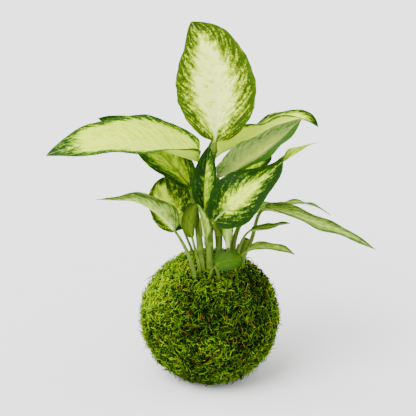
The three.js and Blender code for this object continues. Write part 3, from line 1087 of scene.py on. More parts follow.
    def blade_grid(self, length: float) -> BladeGrid:
        """Spaces the blade's points, closer at its base, its tip and its midrib.

        The rings follow an even row blended with half of one less its cosine, and the points
        across an even row blended with its cube.

        Args:
            length: Length of the blade in millimetres.

        Returns:
            The places of the points.
        """
        across, rings, _ = self.counts
        step = np.linspace(0, 1, rings)
        eased = (1 - np.cos(np.pi * step)) / 2
        t = ((1 - self.RING_CROWDING) * step + self.RING_CROWDING * eased)[:, None]
        even = np.linspace(-1, 1, across)
        u = (even * (1 - self.MIDRIB_CROWDING + self.MIDRIB_CROWDING * even**2))[None, :]
        half = self.half_width(t)
        reach = half * np.abs(u) * (1 + self.ragged(t, u) * u**4)
        return BladeGrid(t, u, half, reach, self.vein(t, u, length))

    def folded(self, grid: BladeGrid) -> np.ndarray:
        """Works out how far each half stands up.

        The second value of its fold, which the first one replaces towards the base by the cube of
        the way from the tip. A very narrow blade lies flatter, and a drawn-out tip is folded more.

        Args:
            grid: The places of the blade's points.

        Returns:
            Degrees at each point.
        """
        (left_base, left), (right_base, right) = self.fold
        at_base = np.where(grid.u < 0, left_base, right_base)
        beyond = np.where(grid.u < 0, left, right)
        fold = beyond + (at_base - beyond) * (1 - grid.t) ** 3
        fold = fold * np.minimum(1, grid.half / self.FLAT_HALF_WIDTH)
        return fold + self.tail[2] * self.drawn_out(grid.t)

    def middle(
        self, grid: BladeGrid, centre: np.ndarray, side: np.ndarray, up: np.ndarray
    ) -> tuple[np.ndarray, np.ndarray]:
        """Works out the surface halfway through the blade.

        Each half stands up by its fold and curls by a share of its reach, and the margins wave by
        a sine that grows with the square of the reach.

        Args:
            grid: The places of the blade's points.
            centre: Points of the midrib, one for each ring.
            side: Unit directions to the right of it.
            up: Unit directions up from it.

        Returns:
            The surface's points and the unit directions that stand on it.
        """
        fold = self.folded(grid)
        lean = np.radians(fold + self.curl * np.abs(grid.u) / 2)
        count, height, phase = self.waves
        turn = 2 * np.pi * (count * grid.t + phase + np.where(grid.u < 0, self.WAVE_OFFSET, 0.0))
        wave = height * grid.u**2 * np.sin(turn) * np.sin(np.pi * grid.t)
        sign = np.sign(grid.u)
        tilt = np.radians(fold + self.curl * np.abs(grid.u)) * np.abs(sign)
        sideways = (sign * grid.reach * np.cos(lean), -sign * np.sin(tilt))
        upwards = (grid.reach * np.sin(lean) + wave, np.cos(tilt))
        offset, normal = (
            side[:, None] * right[..., None] + up[:, None] * above[..., None]
            for right, above in zip(sideways, upwards)
        )
        return centre[:, None] + offset, normal

    def depths(self, grid: BladeGrid) -> tuple[np.ndarray, np.ndarray]:
        """Works out how far the two sides stand off the middle surface.

        Half the thickness, less towards the margins, with the midrib as a bell-shaped groove above
        and a bell-shaped rib below. A cosine from vein to vein lifts both sides at each side vein.

        Args:
            grid: The places of the blade's points.

        Returns:
            Millimetres to the upper side and to the underside.
        """
        thick = self.THICKNESS / 2 * (1 - self.MARGIN_THINNER * grid.u**4)
        relief = np.cos(2 * np.pi * grid.vein) * (1 - grid.u**4) * np.sin(np.pi * grid.t)
        groove = (1 - grid.t) * np.exp(-((grid.reach / self.GROOVE_WIDTH) ** 2))
        stem = self.radii[1] * (1 - grid.t) ** self.RIB_FADE
        least, wider = self.RIB_WIDTHS
        rib = stem * np.exp(-((grid.reach / (least + wider * stem)) ** 2))
        veins = self.VEIN_HEIGHT * relief
        return thick - self.GROOVE_DEPTH * groove - veins, thick + self.RIB_DEPTH * rib + veins

    def stored(self, grid: BladeGrid) -> dict[str, np.ndarray]:
        """Works out the values that the finishes read.

        The midrib's stripe is bell-shaped and finer on the upper side. Green and stripe begin
        where the stalk has become the blade.

        Args:
            grid: The places of the blade's points.

        Returns:
            The values on the points of the rings, by attribute name.
        """
        begun = smooth(grid.t / self.COLOUR_BLEND)
        paler = 1 - self.TAIL_PALER * self.drawn_out(grid.t)
        green = self.markings.green(grid.t, grid.u, grid.half) * paler
        fade = (1 - grid.t) ** self.RIB_FADE
        strength = (self.STRIPE_LEAST + (1 - self.STRIPE_LEAST) * fade) * begun
        stem = self.radii[1] * fade
        above, below = (
            np.exp(-((grid.reach / (self.STRIPE_LEAST_WIDTH + width * stem)) ** 2)) * strength
            for width in self.STRIPE_WIDTHS
        )
        alike = {
            "green": self.BASE_GREEN + (green - self.BASE_GREEN) * begun,
            "vein": grid.vein + self.seed,
            "across": np.broadcast_to(grid.u * self.ACROSS_SCALE, green.shape),
        }
        pairs = {**{key: (value, value) for key, value in alike.items()}, "rib": (above, below)}
        return {
            key: np.concatenate((upper, lower[:, ::-1]), axis=1)
            for key, (upper, lower) in pairs.items()
        }

    def blade(self, line: Line) -> tuple[np.ndarray, dict[str, np.ndarray]]:
        """Makes the rings of the blade, which grow out of the round stalk.

        A drawn-out tip turns over about the midrib.

        Args:
            line: The leaf's line.

        Returns:
            The rings and the values on their points.
        """
        start = line.length_to(len(self.stalk))
        length = line.length - start
        grid = self.blade_grid(length)
        share = grid.t[:, 0]
        centre, side, up = self.frames(line, start + share * length, share**2)
        over = np.radians(self.tail[1]) * self.drawn_out(grid.t)
        side, up = side * np.cos(over) + up * np.sin(over), up * np.cos(over) - side * np.sin(over)
        middle, normal = self.middle(grid, centre, side, up)
        above, below = (depth[..., None] for depth in self.depths(grid))
        lower = middle - normal * below
        flat = np.concatenate((middle + normal * above, lower[:, ::-1]), axis=1)
        radii = self.radii[1] * (1 - self.BLEND_NARROWER * share)
        stem = round_rings(centre, side, up, radii, grid.u.size)
        return stem + (flat - stem) * smooth(grid.t / self.BLEND_LENGTH)[..., None], self.stored(grid)

    def stalk_rings(self, line: Line) -> np.ndarray:
        """Makes the rings of the stalk.

        They are round with a bell-shaped channel along the upper side, and widen into the sheath
        at the foot.

        Args:
            line: The leaf's line.

        Returns:
            The rings.
        """
        across, _, count = self.counts
        share = np.arange(count) / count
        distance = share * line.length_to(len(self.stalk))
        centre, side, up = self.frames(line, distance, np.zeros(count))
        off = (ring_angles(across) - math.pi / 2) / self.CHANNEL_WIDTH
        channel = 1 - self.CHANNEL_DEPTH * np.exp(-(off**2))
        even = self.radii[0] + (self.radii[1] - self.radii[0]) * share
        radii = even * (1 + self.SHEATH_FLARE * (1 - share) ** self.SHEATH_POWER)
        return round_rings(centre, side, up, radii[:, None] * channel, across)

    def build(self) -> None:
        """Makes the leaf's mesh and puts it in the scene."""
        line = Line(self.stalk + self.midrib)
        across, _, count = self.counts
        around = 2 * across
        blade, numbers = self.blade(line)
        rings = np.concatenate((self.stalk_rings(line), blade))
        fill = {**self.STALK_VALUES, "vein": self.seed}
        full = {
            key: np.concatenate((np.full((count, around), fill[key]), value))
            for key, value in numbers.items()
        }
        upper, under, stem = range(3)
        slots = np.full((len(rings) - 1, around), under)
        slots[:, : across - 1] = upper
        slots[:count] = stem
        place = np.arange(around) % across
        margin = (place == 0) | (place == across - 1)
        sharp = np.arange(len(rings)) >= count + self.SMOOTH_RINGS
        skin = Skin(rings, slots, full, margin[None, :] & sharp[:, None])
        made = skin.build(self.name + "_shaped", [*self.sides, Finish.STALK])
        take(made, self.slot, self.name)


@dataclass(frozen=True)
class Cane:
    """A woody stem with the rings that fallen leaves have left.

    Attributes:
        name: Name of its CAD node.
        slot: Name of its material slot, which is only logged.
        path: Points from its foot in the root ball to its top.
        radii: Radii, evenly spaced from foot to top.
        joints: How many rings it has.
        skin: Finish of its side.
        top: Finish of its end.
    """

    name: str
    slot: str
    path: tuple[Point, ...]
    radii: tuple[float, ...]
    joints: int
    skin: Finish
    top: Finish

    # Half the points around, the rings, and the direction that the first point is turned from.
    HALF_AROUND = 14
    RINGS = 90
    FRONT = (0.0, -1.0, 0.0)

    # The swelling at a joint with its pale ring, and the flat middle of the end with its height.
    RIDGE = 0.06
    SCAR_FROM = 0.9
    SCAR_STRENGTH = 0.8
    RIM_SHARE = 0.55
    DOME_HEIGHT = 0.25

    def build(self) -> None:
        """Makes the cane's mesh.

        Its radius swells by a cosine that peaks at each joint, a paler ring lies where that cosine
        is near its peak, and its end is slightly domed.
        """
        line = Line(self.path)
        share = np.linspace(0, 1, self.RINGS)
        centre, forward = line.at(share * line.length)
        side = unit(np.cross(forward, np.array(self.FRONT)))
        up = unit(np.cross(side, forward))
        knots = np.linspace(0, 1, len(self.radii))
        joint = np.cos(2 * np.pi * self.joints * share)
        radii = np.interp(share, knots, self.radii) * (1 + self.RIDGE * joint)
        rings = round_rings(centre, side, up, radii, self.HALF_AROUND)
        rim = centre[-1] + (rings[-1] - centre[-1]) * self.RIM_SHARE + forward[-1] * self.DOME_HEIGHT
        rings = np.concatenate((rings, rim[None]))
        around = 2 * self.HALF_AROUND
        body, end = range(2)
        slots = np.full((self.RINGS, around), body)
        slots[-1] = end
        near = smooth((joint - self.SCAR_FROM) / (1 - self.SCAR_FROM)) * (self.joints > 0)
        scar = np.append(near * self.SCAR_STRENGTH, 0.0)
        numbers = {"rib": np.repeat(scar[:, None], around, axis=1)}
        creases = np.zeros(rings.shape[:2], dtype=bool)
        made = Skin(rings, slots, numbers, creases).build(
            self.name + "_shaped", [self.skin, self.top], cap=end
        )
        take(made, self.slot, self.name)


@dataclass
class Sprigs:
    """Where the sprigs of the moss grow, one row for each of them.

    Attributes:
        out: Unit direction from the ball's centre.
        roots: Where it begins.
        away: Direction from the middle of its tuft.
        low: How far it is from that middle, up to 1.
    """

    out: np.ndarray
    roots: np.ndarray
    away: np.ndarray
    low: np.ndarray

    def picked(self, chosen: np.ndarray) -> "Sprigs":
        """Gives only the chosen sprigs."""
        return Sprigs(self.out[chosen], self.roots[chosen], self.away[chosen], self.low[chosen])


@dataclass(frozen=True)
class MossCoat:
    """The moss: a bed coloured almost black as painted shade, with curved sprigs standing out of it
    on every side.

    Attributes:
        count: How many sprigs are drawn before those under the ball and on stems are left out.
        parts: How many pieces the sprigs are shared out to, by the side of the ball they are on.
        tufts: How many tufts the sprigs grow in.
        tuft_width: How far from a tuft's middle its sprigs get lower and darker, the darkness painted
            shade.
        bed_depth: How far the bed lies below the mean outside of the moss.
        root_depth: How far below it the sprigs in the middle of a tuft begin.
        edge_depth: How much deeper those at its edge begin.
        lengths: Shortest and longest sprig.
        radii: Thinnest and thickest radius of a sprig.
        lifts: Least and greatest angle between a sprig's foot and the ball, in degrees.
        bends: Least and greatest bend along the ball, and the same for the bend towards it.
        levels: Brightness of the darkest and the brightest sprig.
        painted_lit_side: Direction of the side whose sprigs are painted brighter, as painted light.
        dry_share: Share of the sprigs that are dry.
        depth_limit: How far from the ball's middle a sprig may end in front and behind.
        seed: Seed of every random draw.
    """

    count: int = 22000
    parts: int = 5
    tufts: int = 2400
    tuft_width: float = 4.0
    bed_depth: float = 3.2
    root_depth: float = 0.6
    edge_depth: float = 1.6
    lengths: Pair = (4.0, 9.5)
    radii: Pair = (0.32, 0.68)
    lifts: Pair = (0.0, 58.0)
    bends: tuple[Pair, Pair] = ((0.4, 1.4), (0.1, 0.6))
    levels: Pair = (-0.08, 0.68)
    painted_lit_side: Point = (-0.8, 0.1, 0.6)
    dry_share: float = 0.05
    depth_limit: float = 72.8
    seed: int = 11

    # The bed: rings by points around, its brightness, and the height, count and shift of its lumps.
    BED_GRID = (72, 144)
    BED_TONE = 0.4
    SLOW_LUMPS = (1.1, 9.0, (0.0, 1.0, 2.0))
    FINE_LUMPS = (0.9, 23.0, (0.5, 0.2, 1.1))

    # Where sprigs grow. Their tufts are looked up in a few chunks, to save memory.
    CHUNKS = 12
    UNEVENNESS = 0.012
    LOWEST_ROOT = 2.5
    STEM_CLEARANCE = 0.7
    STEM_ZONE = 30.0
    STEM_MARGIN = 6.0

    # The tube of a sprig: its sides, its rings from foot to tip, its bends and its lowest point.
    SIDES = 3
    STATIONS = (0.0, 0.2, 0.42, 0.64, 0.84, 1.0)
    LOWEST_POINT = 0.15
    OUTWARD_PULL = 1.2
    BEND = 0.6
    SWAY = 0.09
    SWAY_TURN = 7.0
    TIP_THINNER = 0.65
    TIP_POWER = 2.2
    OFF_AXIS = 0.01

    # The brightness from 0 to 1, and how dry a dry sprig is.
    # Sprigs at a tuft's edge are darkened as painted shade between the tufts.
    TUFT_EDGE_SHADE = 0.3
    # Sprigs on the lit side are brightened as painted light.
    PAINTED_LIGHT_BRIGHTER = 0.42
    # The feet are darkened, partly as painted shade deep in the moss.
    FOOT_TONE = -0.35
    TIP_BRIGHTER = 0.8
    DRYNESS = 0.85

    def on_ball(self, direction: np.ndarray, depth: np.ndarray) -> np.ndarray:
        """Finds points of the ball in given directions, some way below its mean outside.

        Args:
            direction: Unit directions from its centre.
            depth: How far below the outside, for each direction.

        Returns:
            The points.
        """
        radii = np.array([BALL_RADIUS, BALL_RADIUS, BALL_HALF_HEIGHT])
        return direction * (radii - depth[..., None]) + np.array([0.0, 0.0, BALL_CENTRE])

    def lumps(self, direction: np.ndarray) -> np.ndarray:
        """Works out the lumps of the ball: a slow and a fine product of three sines.

        Args:
            direction: Unit directions from its centre.

        Returns:
            Heights around zero, in millimetres.
        """
        return sum(
            height * np.prod(np.sin(count * direction + np.array(shift)), axis=-1)
            for height, count, shift in (self.SLOW_LUMPS, self.FINE_LUMPS)
        )

    def build_bed(self) -> None:
        """Makes the bed: a lumpy ball of rings from pole to pole, flat where it rests."""
        rows, around = self.BED_GRID
        tilt = np.linspace(0, np.pi, rows + 2)[1:-1, None]
        turn = np.linspace(0, 2 * np.pi, around, endpoint=False)[None, :]
        across, along = np.sin(tilt) * np.cos(turn), np.sin(tilt) * np.sin(turn)
        ball = np.stack((across, along, np.cos(tilt) + 0 * turn), axis=-1)
        points = self.on_ball(ball, self.bed_depth - self.lumps(ball))
        points[..., 2] = np.maximum(points[..., 2], 0.0)
        poles = np.array([[0, 0, points[0, :, 2].mean()], [0, 0, 0]], dtype=float)
        skin = np.vstack((points.reshape(-1, 3), poles))
        ring = np.arange(around)
        following = (ring + 1) % around
        last = (rows - 1) * around
        north, south = (np.full(around, rows * around + pole) for pole in (0, 1))
        top = np.stack((north, ring, following), axis=-1)
        foot = np.stack((south, last + following, last + ring), axis=-1)
        faces = np.vstack((halved(flipped(walls(rows, around))), top, foot))
        numbers = {"tone": np.full(len(skin), self.BED_TONE), "dry": np.zeros(len(skin))}
        made = mesh_object("moss_bed", skin, faces, [Finish.MOSS_BED], numbers=numbers)
        take(made, "moss", "moss_wrap")

    def clear_of(self, roots: np.ndarray, stems: list[tuple[np.ndarray, float]]) -> np.ndarray:
        """Tells which sprigs stand clear of every stem.

        Args:
            roots: Where the sprigs begin.
            stems: Points of each stem with its radius.

        Returns:
            True for each sprig that is clear.
        """
        clear = np.ones(len(roots), dtype=bool)
        high = np.flatnonzero(roots[:, 2] > BALL_CENTRE + self.STEM_ZONE)
        for points, radius in stems:
            near = points[points[:, 2] < roots[:, 2].max() + self.STEM_MARGIN]
            apart = np.linalg.norm(roots[high, None] - near[None], axis=-1).min(axis=1)
            clear[high] &= apart > radius + self.STEM_CLEARANCE
        return clear

    def sow(self, draw: np.random.Generator, stems: list[tuple[np.ndarray, float]]) -> Sprigs:
        """Spreads the sprigs over the ball.

        Each one starts at a place of an even spiral, which turns by the golden angle and comes
        down evenly, moved a little at random. It belongs to the nearest tuft.

        Args:
            draw: The source of random numbers.
            stems: Points of each stem with its radius, which sprigs stand clear of.

        Returns:
            The sprigs.
        """
        number = np.arange(self.count) + 0.5
        height = 1 - 2 * number / self.count
        turn = number * math.pi * (3 - math.sqrt(5))
        flat = np.sqrt(1 - height**2)
        out = np.stack((flat * np.cos(turn), flat * np.sin(turn), height), axis=-1)
        out = unit(out + draw.normal(0, self.UNEVENNESS, out.shape))
        tufts = unit(draw.normal(size=(self.tufts, 3)))
        chunks = np.array_split(out, self.CHUNKS)
        nearest = np.concatenate([np.argmax(chunk @ tufts.T, axis=1) for chunk in chunks])
        away = out - tufts[nearest]
        low = np.clip(np.linalg.norm(away, axis=1) * BALL_RADIUS / self.tuft_width, 0, 1)
        roots = self.on_ball(out, self.root_depth + self.edge_depth * low - self.lumps(out))
        keep = (roots[:, 2] > self.LOWEST_ROOT) & self.clear_of(roots, stems)
        return Sprigs(out, roots, away, low).picked(keep)

    def grow(self, draw: np.random.Generator, sprigs: Sprigs) -> np.ndarray:
        """Makes the tubes of the sprigs.

        A sprig leans away from the middle of its tuft, bends along a parabola towards a second
        random direction and sways by a sine in a third. Its radius narrows by a power of the way
        to its tip.

        Args:
            draw: The source of random numbers.
            sprigs: Where they grow.

        Returns:
            Sprigs by rings by sides by three.
        """
        out = sprigs.out
        count = len(out)
        loose = draw.normal(size=(count, 3))
        leaning = np.cross(unit(sprigs.away) * self.OUTWARD_PULL + loose, out)
        second, third = (unit(np.cross(out, draw.normal(size=(count, 3)))) for _ in range(2))
        lift = np.radians(draw.uniform(*self.lifts, count))[:, None]
        heading = unit(np.cross(out, leaning)) * np.cos(lift) + out * np.sin(lift)
        along_ball, towards_ball = (draw.uniform(*bend, count)[:, None] for bend in self.bends)
        bend = second * along_ball - out * towards_ball
        length = draw.uniform(*self.lengths, count)[:, None, None]
        thickness = draw.uniform(*self.radii, count)
        share = np.array(self.STATIONS)
        step = share[None, :, None]
        sway = self.SWAY * third[:, None]
        spine = sprigs.roots[:, None] + length * (
            step * heading[:, None]
            + self.BEND * step**2 * bend[:, None]
            + np.sin(self.SWAY_TURN * step) * sway
        )
        slope = 2 * self.BEND * step * bend[:, None]
        slope = slope + self.SWAY_TURN * np.cos(self.SWAY_TURN * step) * sway
        along = unit(heading[:, None] + slope)
        side = unit(np.cross(along, out[:, None] + self.OFF_AXIS))
        up = np.cross(side, along)
        angle = (2 * np.pi * np.arange(self.SIDES) / self.SIDES)[:, None]
        radius = thickness[:, None] * (1 - self.TIP_THINNER * share**self.TIP_POWER)
        around = side[:, :, None] * np.cos(angle) + up[:, :, None] * np.sin(angle)
        tube = spine[:, :, None] + radius[..., None, None] * around
        tube[..., 2] = np.maximum(tube[..., 2], self.LOWEST_POINT)
        return tube

    def tones(self, draw: np.random.Generator, sprigs: Sprigs) -> tuple[np.ndarray, np.ndarray]:
        """Picks how bright and how dry the sprigs are.

        A random level, lowered at the edge of a tuft as painted shade between tufts and raised by the
        square of the cosine to the lit side as painted light, which rises evenly from foot to tip.

        Args:
            draw: The source of random numbers.
            sprigs: Where they grow.

        Returns:
            Brightness and dryness, sprigs by rings by sides.
        """
        count = len(sprigs.out)
        painted_light = np.clip(sprigs.out @ unit(np.array(self.painted_lit_side)), 0, 1) ** 2
        level = draw.uniform(*self.levels, count)
        level = level - self.TUFT_EDGE_SHADE * sprigs.low + self.PAINTED_LIGHT_BRIGHTER * painted_light
        share = np.array(self.STATIONS)
        tone = level[:, None] + self.TIP_BRIGHTER * share[None, :] + self.FOOT_TONE
        dry = (draw.random(count) < self.dry_share) * self.DRYNESS
        shape = (count, len(share), self.SIDES)
        return np.broadcast_to(tone[..., None], shape), np.broadcast_to(dry[:, None, None], shape)

    def build(self, stems: list[tuple[np.ndarray, float]]) -> None:
        """Makes the bed and the sprigs, and shares the sprigs out by the side they are on.

        Args:
            stems: Points of each stem with its radius, which sprigs stand clear of.
        """
        self.build_bed()
        draw = np.random.default_rng(self.seed)
        sprigs = self.sow(draw, stems)
        tube = self.grow(draw, sprigs)
        tone, dry = self.tones(draw, sprigs)
        inside = np.abs(tube[..., 1]).max(axis=(1, 2)) < self.depth_limit
        turn = np.arctan2(sprigs.out[:, 1], sprigs.out[:, 0]) / (2 * np.pi) + 0.5
        sector = np.minimum(np.floor(turn * self.parts), self.parts - 1)
        for part in range(self.parts):
            chosen = inside & (sector == part)
            self.build_part(f"moss_sprigs_{part}", tube[chosen], tone[chosen], dry[chosen])

    def build_part(self, name: str, tube: np.ndarray, tone: np.ndarray, dry: np.ndarray) -> None:
        """Makes one mesh of many sprigs, each closed at both ends.

        Args:
            name: Name of the piece.
            tube: Sprigs by rings by sides by three.
            tone: How bright each point is.
            dry: How dry each point is.
        """
        rings, sides = tube.shape[1:3]
        last = (rings - 1) * sides
        ends = np.array([[0, 2, 1], [last, last + 1, last + 2]])
        one = np.vstack((halved(walls(rings, sides)), ends))
        offset = (np.arange(len(tube)) * rings * sides)[:, None, None]
        faces = (one[None] + offset).reshape(-1, 3)
        numbers = {"tone": tone, "dry": dry}
        made = mesh_object(name, tube.reshape(-1, 3), faces, [Finish.MOSS], numbers=numbers)
        take(made, "moss", "moss_wrap")


@dataclass(frozen=True)
class Lamp:
    """A wide distant light, which falls evenly on plant and floor.

    Attributes:
        name: Name of the light.
        place: Where it shines from, in metres.
        width: How wide it looks from the plant, in degrees.
        power: How much falls on a square metre that faces it, in watts.
    """

    name: str
    place: Point
    width: float
    power: float

    def build(self, target: Point) -> None:
        """Makes the light.

        Args:
            target: What it is turned to.
        """
        lamp = bpy.data.lights.new(self.name, "SUN")
        lamp.angle = math.radians(self.width)
        lamp.energy = self.power
        made = bpy.data.objects.new(self.name, lamp)
        made.location = self.place
        toward = Vector(target) - Vector(self.place)
        made.rotation_euler = toward.to_track_quat("-Z", "Y").to_euler()
        bpy.context.collection.objects.link(made)


@dataclass(frozen=True)
class Studio:
    """A pale floor, soft light and the camera of the photo, in metres.

    Attributes:
        elevation: How far above the horizon the camera stands, in degrees.
        distance: How far it is from the plant.
        width: Width of the picture at the plant.
        target: What it looks at.
        floor_reach: How far the floor goes to each side.
        floor_grey: How pale the floor is, from 0 to 1.
        surround: Strength of the white light from all around.
        lamps: The lights.
    """

    elevation: float = 22.0
    distance: float = 3.0
    width: float = 0.4102
    target: Point = (-0.0015, 0.0, 0.1789)
    floor_reach: float = 15.0
    floor_grey: float = 0.9
    surround: float = 1.5
    lamps: tuple[Lamp, ...] = (
        Lamp("key", (-1.0, -1.1, 2.1), 40.0, 4.8),
        Lamp("front", (0.3, -2.0, 0.3), 60.0, 1.0),
        Lamp("rim_left", (-1.5, 0.5, 0.7), 50.0, 2.8),
        Lamp("rim_right", (1.5, 0.3, 0.6), 50.0, 0.6),
    )

    FLOOR_ROUGHNESS = 0.9
    FLOOR_SPECULAR = 0.1
    SENSOR_WIDTH = 36.0
    SIGHT = 100.0

    def build(self) -> None:
        """Makes the floor, the lights and the camera."""
        self.floor()
        self.world()
        for lamp in self.lamps:
            lamp.build(self.target)
        self.camera()

    def floor(self) -> None:
        """Makes a wide plain floor under the plant."""
        corners = np.array([[-1, -1, 0], [1, -1, 0], [1, 1, 0], [-1, 1, 0]]) * self.floor_reach
        mesh = bpy.data.meshes.new("studio_floor")
        mesh.from_pydata(corners.tolist(), [], [(0, 1, 2, 3)])
        grey = (self.floor_grey, self.floor_grey, self.floor_grey, 1.0)
        shader = ShaderTree("studio_floor")
        mesh.materials.append(shader.finish(grey, self.FLOOR_ROUGHNESS, self.FLOOR_SPECULAR))
        made = bpy.data.objects.new("studio_floor", mesh)
        bpy.context.collection.objects.link(made)

    def world(self) -> None:
        """Sets an even white surround."""
        world = bpy.data.worlds.new("studio_world")
        world.use_nodes = True
        surround = world.node_tree.nodes["Background"]
        surround.inputs["Color"].default_value = (1.0, 1.0, 1.0, 1.0)
        surround.inputs["Strength"].default_value = self.surround
        bpy.context.scene.world = world

    def camera(self) -> None:
        """Adds the camera, level with the horizon and turned down to the plant."""
        lens = bpy.data.cameras.new("camera")
        lens.sensor_width = self.SENSOR_WIDTH
        lens.lens = lens.sensor_width * self.distance / self.width
        lens.clip_end = self.SIGHT
        made = bpy.data.objects.new("camera", lens)
        tilt = math.radians(self.elevation)
        back = Vector((0.0, -math.cos(tilt), math.sin(tilt)))
        made.location = Vector(self.target) + back * self.distance
        made.rotation_euler = (math.pi / 2 - tilt, 0.0, 0.0)
        bpy.context.collection.objects.link(made)
        bpy.context.scene.camera = made


